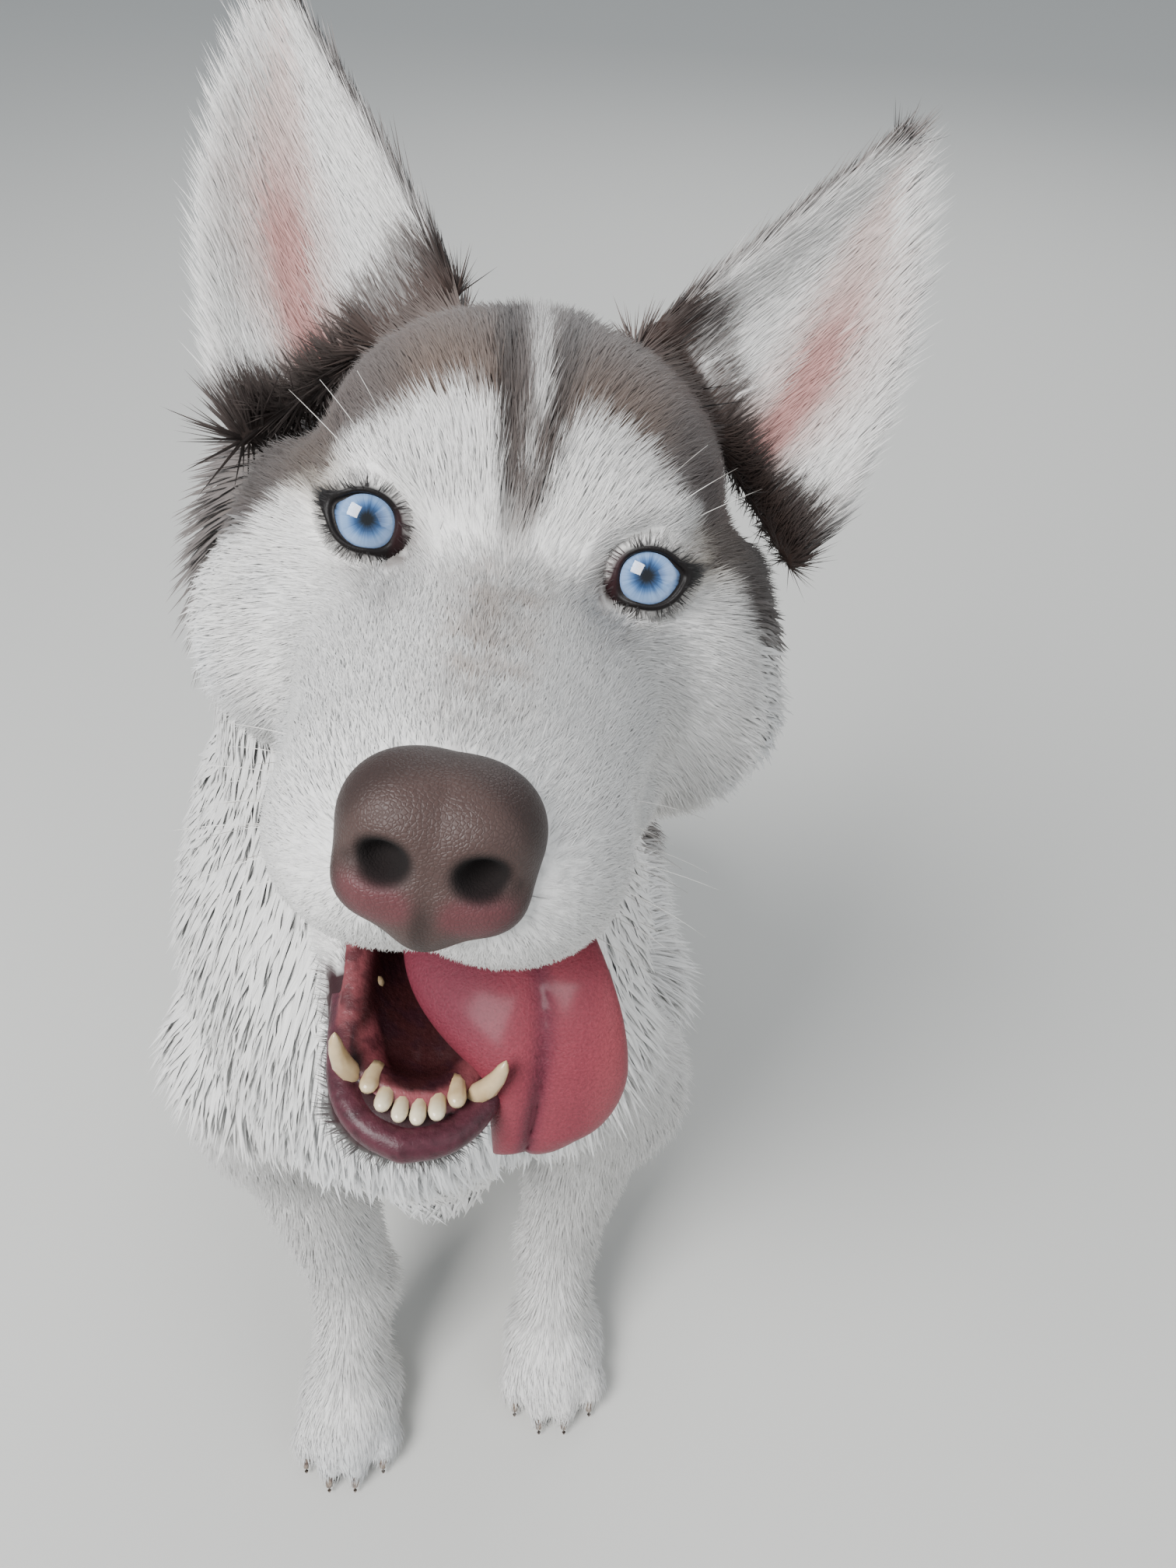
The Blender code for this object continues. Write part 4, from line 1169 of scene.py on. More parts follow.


# %% [markdown]
# ## Growing the coat, piece by piece
# The coat is divided into pieces by part of the body, each under two hundred thousand triangles. Each has a
# number of tufts, and the tree spreads them over its part. Then every tuft takes the marking at its root, darkened
# towards the root as painted shade and a little paler at the tip; no two are quite alike, and in the mantle some are
# banded with cream.

# %% Grow the coat
skin_local = skin_at["local"]
owner = np.array(pull_names)[pull.argmax(1)]
on_head = owner == "head"
folded_skin = mirrored(skin_local)
on_ear_skin = on_head & (ear(folded_skin) < 5.0) & (ear_middle(folded_skin)[4] < -6)
thickness = step(hollow, 1.2, 3.4).astype(float)
gap = eye_distance(skin_local)
facing_eye = skin_local[:, 1] < 26
thickness[(lid_marks < -90) & (gap < 4.0) & facing_eye & on_head] = 0
thickness[(lid_marks > -90) & (lid_marks < 0.9)] = 0
thickness[(lid_marks > 9.5)] = 0
thickness *= 1 - inside_lips(skin_local)
thickness *= np.where(on_head, step(egg(folded_skin, (0, -94, -31.5), (18.0, 14, 16.5)), -0.5, 1.5), 1)
thickness *= step(skin_at["points"][:, 2], 0.002, 0.006)
reach, rise, wide = measures[:, 1], measures[:, 0] * np.where(measures[:, 0] > 0.009, 0.62, 0.95), measures[:, 2]
close = np.exp(-np.maximum(gap, 0) / 5.0) * facing_eye * on_head
reach = mixed(reach, 0.0034, close)
rise = mixed(rise, 0.0011, close)
wide = mixed(wide, 0.00036, close)
shaggy = np.isin(owner, ("neck", "trunk"))
rise = np.where(shaggy, rise * 0.45, rise)
wide = np.where(shaggy, wide * 1.45, wide)
head_x, head_y, head_z = np.abs(skin_local[:, 0]), skin_local[:, 1], skin_local[:, 2]
ear_foot = on_head & (curve_distance(head_x, head_z, EAR_FOOT) < 20) & (head_y > 30)
rise = np.where(ear_foot, rise * 0.75, rise)
reach = np.where(ear_foot, np.minimum(reach, 0.019), reach)
fringe = step(to_lip(skin_local), 5.0, 2.5) * on_head
reach = mixed(reach, 0.0036, fringe)
rise = mixed(rise, 0.0032, fringe)
wide = mixed(wide, 0.00030, fringe)
inside_ear = on_ear_skin & (skin_local[:, 1] < ear_middle(folded_skin)[0])
edge_near = step(np.maximum(ear_middle(folded_skin)[2], ear_middle(folded_skin)[3]), -22, -6)
reach = np.where(inside_ear, mixed(0.010, 0.016, edge_near), reach)
rise = np.where(inside_ear, mixed(0.0012, 0.0035, edge_near), rise)
thickness = np.where(inside_ear, thickness * mixed(0.35, 1.0, edge_near), thickness)
store(skin_object.data, "reach", "FLOAT", reach)
store(skin_object.data, "rise", "FLOAT", rise)
store(skin_object.data, "wide", "FLOAT", wide)

fine_head = on_head & ~on_ear_skin
muzzle = fine_head & (head_y < -12)
face = fine_head & (head_y >= -12) & (head_y < 30) & (head_x < 62)
rest_of_head = fine_head & ~muzzle & ~face
before_back = skin_at["points"][:, 1] < 0.19
LEG_SHEET = 7


def legs_rolled(points, half_stance, start, end):
    """Both legs rolled off, each round a line of its own, the left one's sheet beside the right one's."""
    left = points[:, :1] > 0
    return rolled(points - np.where(left, (half_stance, 0, 0), (-half_stance, 0, 0)), start, end) + np.where(
        left, (LEG_SHEET, 0), (0, 0))


# Where each piece grows, its number of tufts, their shapes, how they stray from the lie, and its unwrap
PIECES = {
    "coat_muzzle": (muzzle, 38000, SHORT, 0.16, spread_from_muzzle),
    "coat_face": (face, 44000, SHORT, 0.16, spread_from_muzzle),
    "coat_crown": (rest_of_head & (head_z > -8), 36000, SHORT, 0.18, spread_from_muzzle),
    "coat_cheeks": (rest_of_head & (head_z <= -8), 15000, LONG, 0.16, spread_from_muzzle),
    "coat_ears": (on_ear_skin, 34000, SHORT, 0.14, ear_sheets),
    "coat_neck": (owner == "neck", 19600, LONG, 0.15,
                  lambda p: rolled(p, (0.02, 0.08, 0.35), (0.03, 0.09, 0.60))),
    "coat_chest": ((owner == "trunk") & before_back, 19600, LONG, 0.16,
                   lambda p: rolled(p, (0.0, 0.10, 0.20), (0.0, 0.10, 0.60))),
    "coat_back": ((owner == "trunk") & ~before_back, 12500, LONG, 0.20,
                  lambda p: rolled(p, (0.0, 0.15, 0.35), (0.0, 0.40, 0.07))),
    "coat_front_legs": ((owner == "front") | (owner == "front_paw"), 30000, SHORT, 0.16,
                        lambda p: legs_rolled(p, 0.065, (0, 0.07, 0.0), (0, 0.08, 0.4))),
    "coat_hind_legs": ((owner == "hind") | (owner == "hind_paw"), 11000, LONG, 0.18,
                       lambda p: legs_rolled(p, 0.09, (0, 0.15, 0.08), (0, 0.42, 0.08))),
    "coat_tail": (owner == "tail", 7500, LONG, 0.20,
                  lambda p: rolled(p, (0.0, 0.42, 0.05), (-0.12, 0.64, 0.03))),
}

mesh_faces = skin_object.data
areas = np.zeros(len(mesh_faces.polygons), np.float32)
mesh_faces.polygons.foreach_get("area", areas)
first_corner = np.zeros(len(mesh_faces.loops), np.int32)
mesh_faces.loops.foreach_get("vertex_index", first_corner)
face_points = first_corner.reshape(-1, 4)


def tuft_colours(roots, points, along, luck):
    """The marking along each tuft, changed along the hair and from hair to hair, and darkened towards the root as
    painted shade.
    """
    base = markings(roots + 0.7 * (points - roots))
    bright = base.mean(1)
    pale = step(bright, 0.25, 0.60)
    other = (luck * 7.31) % 1
    value = mixed(0.60 + 0.85 * luck ** 1.5, 0.80 + 0.22 * np.sqrt(luck), pale)
    colour = base * value[:, None]
    banded = step(other, 0.50, 0.72) * (1 - pale) * step(bright, 0.015, 0.05)
    tip = np.clip((along - 0.35) / 0.5, 0, 1)
    colour = tint(colour, "cream", 0.50 * banded * tip)
    # Painted shade: darker towards the root, most in dark hairs, and a little paler at the tip
    painted_root_shade = mixed(mixed(0.60, 0.94, pale), 1.03, np.clip(along / 0.45, 0, 1))
    return np.clip(colour * painted_root_shade[:, None], 0, 1)


coat_objects = []
bed = skin_object.copy()
bed.data = skin_object.data.copy()
bpy.context.scene.collection.objects.link(bed)
store(bed.data, "thickness", "FLOAT", np.zeros(len(thickness)))
for seed, (name, (mask, count, family, scatter, unwrap)) in enumerate(PIECES.items()):
    thick = np.where(mask, thickness, 0.0)
    bed.data.attributes["thickness"].data.foreach_set("value", thick.astype(np.float32))
    wanted = float((thick[face_points].mean(1) * areas).sum())
    mesh = grown(bed, COAT_TREE, {"Tufts per square metre": count / wanted, "Scatter of lie": scatter,
                                  "Seed": 40 + seed, "Shapes": family, "Hair": fur})
    piece = bpy.data.objects.new(name, mesh)
    bpy.context.scene.collection.objects.link(piece)
    points = points_of(mesh)
    points[:, 2] = np.maximum(points[:, 2], 0.0004)
    mesh.vertices.foreach_set("co", points.ravel())
    roots, along = stored(mesh, "root", 3), stored(mesh, "along", 1)[:, 0]
    side, luck = stored(mesh, "side", 1)[:, 0], stored(mesh, "chance", 1)[:, 0]
    sample, where = np.unique(roots.round(6), axis=0, return_inverse=True)
    colour = tuft_colours(roots.astype(float), points.astype(float), along, luck)
    store(mesh, "markings", "FLOAT_COLOR", np.column_stack((colour, np.zeros(len(colour)))))
    store(mesh, "strand", "FLOAT_VECTOR", np.stack((side * 2.6 + luck * 170, along * 0.5, luck * 31), 1))
    sheet = fitted(unwrap((roots - TOE_LINE).astype(float)))
    spot = sheet + PATCH * np.stack((side * 0.4, along - 0.5), 1)
    corner = np.zeros(len(mesh.loops), np.int32)
    mesh.loops.foreach_get("vertex_index", corner)
    uv_map = mesh.uv_layers.new(name="OFBake")
    uv_map.data.foreach_set("uv", spot[corner].astype(np.float32).ravel())
    own_normals = np.zeros(len(points) * 3, np.float32)
    mesh.vertex_normals.foreach_get("vector", own_normals)
    soft = own_normals.reshape(-1, 3) * (0.30 if family is LONG else 0.55) + stored(mesh, "up", 3)
    mesh.normals_split_custom_set_from_vertices(soft / np.maximum(length(soft), 1e-6)[:, None])
    for spare in ("root", "up", "along", "side", "chance", "lie", "reach", "rise", "wide", "thickness"):
        if spare in mesh.attributes:
            mesh.attributes.remove(mesh.attributes[spare])
    coat_objects.append(piece)
    print(name, "tufts", len(sample), "triangles", triangles(piece))
bpy.data.objects.remove(bed)

# %% [markdown]
# ## Eyes
# A husky's eye is pale blue with a dark rim, a small pupil and fine spokes. The ball is a fine sphere whose front
# bulges as the cornea. Its colours are worked out from the distance to the line of sight, so they need no image,
# and a clear wet gloss lies on top.

# %% The eyes
def eye_material(name, centre, gaze):
    # Cornea over iris: wet and very smooth, IOR 1.376
    made, tree, shader = new_material(name)
    place = add(tree, "ShaderNodeTexCoord")
    off = add(tree, "ShaderNodeVectorMath", {"operation": "SUBTRACT"}, {0: place.outputs["Object"], 1: tuple(centre)})
    depth = add(tree, "ShaderNodeVectorMath", {"operation": "DOT_PRODUCT"}, {0: off.outputs[0], 1: tuple(gaze)})
    line = add(tree, "ShaderNodeVectorMath", {"operation": "SCALE"}, {0: tuple(gaze), "Scale": depth.outputs["Value"]})
    flat = add(tree, "ShaderNodeVectorMath", {"operation": "SUBTRACT"}, {0: off.outputs[0], 1: line.outputs[0]})
    radius = add(tree, "ShaderNodeVectorMath", {"operation": "LENGTH"}, {0: flat.outputs[0]})
    spoke = add(tree, "ShaderNodeVectorMath", {"operation": "NORMALIZE"}, {0: flat.outputs[0]})
    rays = add(tree, "ShaderNodeTexNoise", inputs={"Vector": spoke.outputs[0], "Scale": 7.0, "Detail": 4.0,
                                                   "Roughness": 0.7})
    shift = add(tree, "ShaderNodeMapRange", inputs={0: rays.outputs["Fac"], 1: 0.3, 2: 0.7, 3: -0.0004, 4: 0.0004})
    # Every radius is shifted by the spokes' noise, the pupil's edge and the rim as well as the iris
    bent = add(tree, "ShaderNodeMath", {"operation": "ADD"}, {0: radius.outputs["Value"], 1: shift.outputs["Result"]})
    ramp = add(tree, "ShaderNodeValToRGB", inputs={"Fac": add(
        tree, "ShaderNodeMapRange", inputs={0: bent.outputs[0], 1: 0.0, 2: 0.0100, 3: 0.0, 4: 1.0}).outputs["Result"]})
    stops = ((0.0, "05070A"), (0.12, "080C12"), (0.17, "16263A"), (0.27, "28446A"), (0.36, "4A6C9A"), (0.47, "7695BE"),
             (0.60, "819DC4"), (0.70, "4F6A90"), (0.76, "1A2331"), (0.82, "141116"), (1.0, "251819"))
    ramp.color_ramp.elements[0].position, ramp.color_ramp.elements[1].position = 0.0, 1.0
    for position, _ in stops[1:-1]:
        ramp.color_ramp.elements.new(position)
    for element, (position, code) in zip(ramp.color_ramp.elements, stops):
        element.position = position
        element.color = (*linear(code), 1)
    fibre = add(tree, "ShaderNodeMapRange", inputs={0: rays.outputs["Fac"], 1: 0.3, 2: 0.7, 3: 0.80, 4: 1.12})
    shade = add(tree, "ShaderNodeVectorMath", {"operation": "SCALE"},
                {0: ramp.outputs["Color"], "Scale": fibre.outputs["Result"]})
    tree.links.new(shade.outputs[0], shader.inputs["Base Color"])
    shader.inputs["Roughness"].default_value = 0.06
    shader.inputs["IOR"].default_value = 1.376
    shader.inputs["Coat Weight"].default_value = 1.0
    shader.inputs["Coat Roughness"].default_value = 0.02
    return made


def eyeball(name, side):
    centre = from_head((side * EYE_AT[0], EYE_AT[1], EYE_AT[2]))
    gaze = unit(HEAD_TURN @ np.array((side * -0.10, -1, 0.17)))
    mesh = bpy.data.meshes.new(name)
    made = bpy.data.objects.new(name, mesh)
    bpy.context.scene.collection.objects.link(made)
    shape = bmesh.new()
    bmesh.ops.create_uvsphere(shape, u_segments=64, v_segments=48, radius=EYE_RADIUS * MM)
    shape.transform(Vector(gaze).to_track_quat("Z", "Y").to_matrix().to_4x4())
    for vert in shape.verts:
        facing = vert.co.normalized().dot(Vector(gaze))
        vert.co *= 1 + 0.05 * max(0.0, (facing - 0.72) / 0.28) ** 1.2
        vert.co += Vector(centre)
    shape.to_mesh(mesh)
    shape.free()
    mesh.shade_smooth()
    mesh.materials.append(eye_material(name + " cornea and iris", centre, gaze))
    return made


eyes = [eyeball("eyeball_left", 1), eyeball("eyeball_right", -1)]
print("eyes", [triangles(eye) for eye in eyes])

# %% [markdown]
# ## Nose
# The nose is a pad of moist pebbled skin, squarish above and narrower below, with a groove down its middle.
# Its nostrils are commas: a round hole in front and a slit that runs out to the side. It is shaped by the same
# kind of distances as the head, on a grid fine enough for the slits.

# %% The nose
def nose_form(local):
    folded = mirrored(local - np.array((NOSE_SHIFT, 0, 0), np.float32))
    form = egg(folded, (0, -91.5, -31.6), (17.0, 13.2, 15.6))
    form = blend(form, egg(folded, (7.4, -92.5, -26.0), (8.6, 10.5, 7.8)), 6)
    form = blend(form, egg(folded, (8.0, -98.0, -37.6), (7.6, 6.2, 5.6)), 6)
    form = blend(form, egg(folded, (0, -98, -41.0), (5.6, 6.2, 7.2)), 5)
    form = carve(form, egg(folded, (8.4, -107.0, -31.0), (4.6, 8.2, 3.5)), 2.4)
    form = carve(form, limb(folded, (10.5, -105.2, -31.4), (16.0, -101.2, -33.4), 1.5, 0.8), 2.4)
    return carve(form, limb(folded, (0, -107.6, -34), (0, -104.0, -50), 0.6, 0.9), 2.2)


def head_piece(name, form, low, high, voxel):
    """A piece from a form in the head's millimetres."""
    corners = from_head([(x, y, z) for x in (low[0], high[0]) for y in (low[1], high[1]) for z in (low[2], high[2])])
    points, quads = meshed(lambda w: form(to_head((w - TOE_LINE).astype(np.float32))) * MM,
                           corners.min(0) - 0.002, corners.max(0) + 0.002, voxel)
    return mesh_object(name, points, quads)


nose = head_piece("nose_pad", nose_form, (-20, -108, -52), (20, -78, -10), 0.0007)
local = to_head(points_of(nose.data) - TOE_LINE)
folded = mirrored(local - (NOSE_SHIFT, 0, 0))
# Painted shade: the nostrils' holes and side slits are darkened almost to black
deep = step(egg(folded, (8.2, -106.0, -31.0), (5.0, 10.0, 4.1)), 1.4, -0.8)
slit = step(limb(folded, (10.5, -105.0, -31.2), (15.2, -101.5, -32.6), 1.8, 0.8), 1.8, -0.6)
deep = np.maximum(deep, 0.75 * slit)
NOSE_TOP, NOSE_LOW, NOSE_RIM_SHADE, NOSTRIL_SHADE = (linear(code) for code in ("453430", "5A3134", "221613", "050303"))
share = 0.9 * np.exp(-(egg(folded, (8.8, -101, -38.2), (5.6, 9, 2.8)).clip(0) / 1.8) ** 2)
colour = tint(plain(NOSE_TOP, len(local)), NOSE_LOW, share)
# Painted shade: the nose is darker round its edges and towards its back, where it turns away, and in the groove down
# its middle
groove = step(folded[:, 0], 3.2, 0.4) * step(local[:, 2], -34, -41)
edge = step(egg(folded, (0, -98, -31.5), (18.2, 20, 16.8)), -3.6, -0.6)
rim_shade_share = np.maximum(np.maximum(0.85 * edge, step(local[:, 1], -98, -91)), 0.85 * groove)
colour = tint(tint(colour, NOSE_RIM_SHADE, 0.75 * rim_shade_share), NOSTRIL_SHADE, 0.92 * deep)
store(nose.data, "markings", "FLOAT_COLOR", np.column_stack((colour, deep)))


def pebbles(tree):
    place = add(tree, "ShaderNodeTexCoord")
    cells = add(tree, "ShaderNodeTexVoronoi", {"feature": "DISTANCE_TO_EDGE"},
                {"Vector": place.outputs["Object"], "Scale": 1350.0})
    return add(tree, "ShaderNodeMapRange", inputs={0: cells.outputs["Distance"], 1: 0.0, 2: 0.22}).outputs["Result"]


# Nose leather: thick moist skin in pebbles just under a millimetre across
leather = marked_material("moist nose leather", pebbles, (0.0, 1.0), (0.88, 1.02), (0.30, 0.0003),
                          {"Specular IOR Level": 0.35}, moist=(0.48, 0.95))
nose.data.materials.append(leather)
print("nose triangles", triangles(nose))

# %% [markdown]
# ## Mouth, teeth and tongue
# The open mouth shows the floor between the jaws, gums mottled pink and brown, a mauve lower lip, small incisors,
# two curved canines and two back teeth. The lining is a crust over the skin inside the mouth with lips and gum
# as tubes blended on; it is meshed much finer than the skin. The tongue is a flat band that leaves the mouth over
# the left side and hangs in two lobes with a crease between.

# %% The mouth's lining
GUM = ((27, -4, -88), (17.0, -28, -104), (13.4, -42, -110), (10.2, -49.0, -112.6), (5.6, -53.6, -114.2),
       (0, -54.8, -114.8))
GUM_RADII = (2.4, 3.0, 3.5, 3.6, 3.5, 3.5)


def to_gum(local):
    return to_tube(local, GUM, GUM_RADII)


def to_ridge(local):
    """Distance to the fold of skin that ties the tongue to the floor of the mouth."""
    return limb(local, (0.5, -16, -105.0), (1.2, -44, -113.5), 2.2, 1.5)


def to_floor(local):
    return limb(from_mouth_middle(local), (4, -6, -112), (3, -44, -122), 9.5, 8.0)


def lining_form(local):
    crust = np.maximum(head(local) + 0.2, mouth_hollow(mirrored(local)) - 5.0)
    lower = blend(to_lip(local), to_gum(local), 1.6)
    floor_pad = np.maximum(to_floor(local), head(local) - 4.0)
    lower = blend(lower, blend(floor_pad, to_ridge(local), 2.5), 2.0)
    return np.where(local[:, 2] < -72, blend(crust, lower, 2.0), crust)


lining = head_piece("mouth_lining", lining_form, (-42, -95, -136), (42, 45, -52), 0.0010)
local = to_head(points_of(lining.data) - TOE_LINE)
FLOOR, GUM_PINK, GUM_DARK, LIP_MAUVE, LIP_DARK_AND_CREASE_SHADE, RIDGE = (linear(code) for code in (
    "321718", "84464B", "28131A", "4C2730", "190D11", "6E5F66"))
mottle = step(ripple(local, 0.45, 1.0) + 0.5 * ripple(local, 1.3, 5.0), -0.1, 0.6)
colour = tint(plain(FLOOR, len(local)), GUM_DARK, 0.7 * mottle)
colour = tint(colour, GUM_PINK * 0.75, step(local[:, 0], -12, -17) * (1 - 0.6 * mottle))
colour = tint(colour, tint(plain(GUM_PINK, len(local)), GUM_DARK, 0.55 * mottle), step(to_gum(local), 1.4, 0.3))
colour = tint(colour, tint(plain(LIP_MAUVE, len(local)), LIP_DARK_AND_CREASE_SHADE, 0.35 * mottle), step(to_lip(local), 0.9, 0.2))
# Painted shade: a dark line in the crease between the lower lip and the gum
crease = step(np.abs(to_lip(local) - to_gum(local)), 1.3, 0.2) * step(to_gum(local), 2.5, 1.0)
colour = tint(tint(colour, LIP_DARK_AND_CREASE_SHADE, 0.85 * crease), RIDGE, 0.65 * step(to_ridge(local), 0.8, 0.1))
store(lining.data, "markings", "FLOAT_COLOR", np.column_stack((colour, np.ones(len(colour)))))


def wet_material(name, roughness, grain_scale, depth):
    # Wet mucous skin: smooth film of water over soft fine grain, IOR 1.36
    return marked_material(name, grain(grain_scale, 4.0, 0.6), (0.3, 0.7), (0.78, 1.12), (0.8, depth), {
        "Roughness": roughness, "IOR": 1.36, "Specular IOR Level": 0.35, "Coat Weight": 0.12, "Coat Roughness": 0.22})


lining.data.materials.append(wet_material("wet gum and lip", 0.38, 650.0, 0.0004))
print("lining triangles", triangles(lining))

# %% The tongue
# From the back of the mouth to the tip: the left edge, the right edge, and where the crease lies between them
TONGUE_EDGES = (
    ((-9, 10, -92), (28, 12, -86), 0.70), ((-8.5, -10, -93), (31, -10, -80), 0.70),
    ((-7.5, -24, -95), (34, -29, -75), 0.69), ((-3, -33, -100), (39.5, -40, -80), 0.64),
    ((5, -40, -105), (44.2, -43, -88), 0.56), ((13.5, -44, -109), (47.6, -43.5, -97), 0.46),
    ((17.6, -45, -113.5), (49.6, -43.0, -106), 0.38), ((19.4, -44.5, -119.5), (48.8, -42, -115), 0.35),
    ((20.8, -43.5, -126.0), (45.6, -41.5, -122.5), 0.36), ((22.4, -43.0, -132.6), (40.0, -41.0, -127.2), 0.42),
)
TONGUE_ACROSS = 40
TONGUE_THICK = 2.0


def tongue_rings():
    """Rings across the tongue from edge to edge: two rounded lobes in front with a crease between, flat behind."""
    stations = rounded([(*left, *right, crease) for left, right, crease in TONGUE_EDGES], 3)
    share = np.linspace(0, 1, len(stations))
    across = (1 - np.cos(np.linspace(0, math.pi, TONGUE_ACROSS))) / 2
    rings = []
    for station, along in zip(stations, share):
        left, right, crease = station[:3], station[3:6], station[6]
        hang, end, tip = (float(step(along, low, high)) for low, high in ((0.15, 0.60), (0.85, 1), (0.9, 1)))
        front = unit((0, mixed(-0.25, -0.95, hang), mixed(0.97, 0.32, hang)))
        first = across < crease
        lobe = np.where(first, across / crease, (across - crease) / (1 - crease))
        lobe = np.sqrt(np.maximum(4 * lobe * (1 - lobe), 0))
        rise = mixed(1.5, 3.4, hang) * lobe * np.where(first, 1.25, 0.85) * (1 - 0.55 * end)
        rise = rise + 1.2 * (4 * across * (1 - across))
        thick = TONGUE_THICK * np.sqrt(np.maximum(1 - (2 * across - 1) ** 4, 0))
        thick = thick * (1 - 0.75 * float(step(along, 0.93, 1))) + 0.25
        middle = left + (right - left) * across[:, None]
        middle = middle - np.outer(1.6 * lobe * (across > crease) * tip, (0, 0, 1))
        top = middle + np.outer(rise + thick, front)
        under = middle + np.outer(np.minimum(rise, 2.0) - thick, front)
        rings.append(np.concatenate((top, under[::-1])))
    return rings


tongue_rings_placed = [from_head(ring) for ring in tongue_rings()]
tongue_ends = [tongue_rings_placed[0].mean(0), tongue_rings_placed[-1].mean(0)]
tongue_points, *tongue_faces = closed(tongue_rings_placed, tongue_ends)


tongue = mesh_object("tongue_band", tongue_points, tongue_faces)
local = to_head(points_of(tongue.data) - TOE_LINE)
FLESH, FLESH_PALE, FLESH_IN_SHADE = linear("7E343F"), linear("96464D"), linear("4E2030")
crease_line = rounded([(21.3, -78.3), (26.4, -87.3), (28.7, -97.1), (28.9, -109.8), (29.5, -129)])
groove = curve_distance(local[:, 0], local[:, 2], [tuple(p) for p in crease_line])
# Painted shade: darker along the crease between the lobes
colour = tint(plain(FLESH, len(local)), FLESH_IN_SHADE, 0.65 * step(groove, 4.0, 0.2))
colour = tint(colour, FLESH_PALE, 0.65 * step(local[:, 0] + 0.12 * (local[:, 2] + 110), 38, 47))
# Painted shade: darker on the part within the mouth, towards the middle and high up
colour = tint(colour, FLESH_IN_SHADE, 0.45 * step(local[:, 0], 26, 6) * step(local[:, 2], -112, -96))
store(tongue.data, "markings", "FLOAT_COLOR", np.column_stack((colour, np.ones(len(colour)))))
tongue.data.materials.append(wet_material("wet tongue", 0.50, 1500.0, 0.0005))
print("tongue triangles", triangles(tongue))

# %% [markdown]
# Teeth are short lofts of eight-sided rings: incisors are small blunt pegs that lean forward, canines are long
# cones that curve out and back, and the two back teeth are low blunt points.

# %% The teeth
def loft(route, radii, sides=10, flatten=1.0):
    """A closed tube with round ends along a route, each ring square to the way on; flatten thins it in depth."""
    route, rings = np.array(route, float), []
    for k, centre in enumerate(route):
        way = unit(route[min(k + 1, len(route) - 1)] - route[max(k - 1, 0)])
        across = unit(np.cross(way, (0.13, 0.35, 1.0) if abs(way[1]) > 0.6 else (0.05, 1.0, 0.1)))
        deep = np.cross(way, across)
        angle = np.arange(sides) / sides * 2 * math.pi
        rings.append(centre + radii[k] * (np.cos(angle)[:, None] * across + flatten * np.sin(angle)[:, None] * deep))
    return closed(rings, route[[0, -1]])


def joined(name, parts):
    """One object from several lofts."""
    points, quads, caps, start = [], [], [], 0
    for part_points, part_quads, part_caps in parts:
        points.append(part_points)
        quads.append(part_quads + start)
        caps.append(part_caps + start)
        start += len(part_points)
    return mesh_object(name, np.concatenate(points), [np.concatenate(quads), np.concatenate(caps)])


def tooth(base, tip, radius, bend=(0, 0, 0), blunt=0.45):
    base, tip, bend = (np.array(v, float) for v in (base, tip, bend))
    share = np.array((0, 0.2, 0.45, 0.7, 0.86, 0.95, 1.0))
    route = base + (tip - base) * share[:, None] + bend * (4 * share * (1 - share))[:, None]
    profile = np.array((0.92, 1.0, 0.97, 0.5 + blunt * 0.75, 0.28 + blunt * 0.85, blunt * 0.85, 0.02))
    return from_head(route), np.minimum(profile, 1.0) * radius * MM


# Places in the head's millimetres: the incisors' tips from the middle out, then a canine's base, tip and bend
INCISORS = ((2.05, -61.6, -113.4), (6.15, -60.2, -112.4), (10.1, -57.0, -110.6))
CANINE = ((12.2, -49.0, -113.5), (18.8, -54.5, -98.4), (1.3, -1.0, -0.8))
CHEEK_TEETH = (((-13.5, -27, -108), (-11.9, -28, -99.5), 2.6), ((-13.0, -34, -111), (-11.2, -35.5, -104.5), 2.1),
               ((-15.5, -19, -102), (-14.0, -20, -94.0), 3.0))


def on_side(side, x, y, z):
    return MOUTH_SHIFT + side * x, y, z


teeth = []
for side in (1, -1):
    for number, (x, y, z) in enumerate(INCISORS):
        base = on_side(side, x * 0.90, y + 8.5, z + 1.0)
        teeth.append(loft(*tooth(base, on_side(side, x, y, z), 1.9 + 0.14 * number, blunt=0.66), flatten=0.85))
    base, tip, bend = CANINE
    teeth.append(loft(*tooth(on_side(side, *base), on_side(side, *tip), 2.5, (side * bend[0], *bend[1:]), blunt=0.34)))
teeth += [loft(*tooth(base, tip, radius, blunt=0.5)) for base, tip, radius in CHEEK_TEETH]
teeth_object = joined("lower_teeth", teeth)
heights = to_head(points_of(teeth_object.data) - TOE_LINE)
ENAMEL, STAIN = linear("DDD0B2"), linear("A98650")
stain = 0.60 * step(heights[:, 1], -59.5, -55) + 0.18 * step(ripple(heights, 0.9), 0.2, 0.7)
colour = tint(plain(ENAMEL, len(heights)), STAIN, stain)
store(teeth_object.data, "markings", "FLOAT_COLOR", np.column_stack((colour, np.ones(len(heights)))))

# Tooth enamel: hard and glossy, IOR 1.62, yellower near the gum
teeth_object.data.materials.append(marked_material(
    "tooth enamel", grain(420.0, 3.0), (0.3, 0.7), (0.88, 1.05), (0.2, 0.0002), {"Roughness": 0.22, "IOR": 1.62}))
print("teeth", len(teeth), "triangles", triangles(teeth_object))

# %% [markdown]
# ## Claws and whiskers
# Each toe ends in a blunt curved claw that shows below the fur, and a few fine whiskers stand out from the muzzle
# and the brows. Both are lofts again: a claw is a short thick one, a whisker a very long thin one.

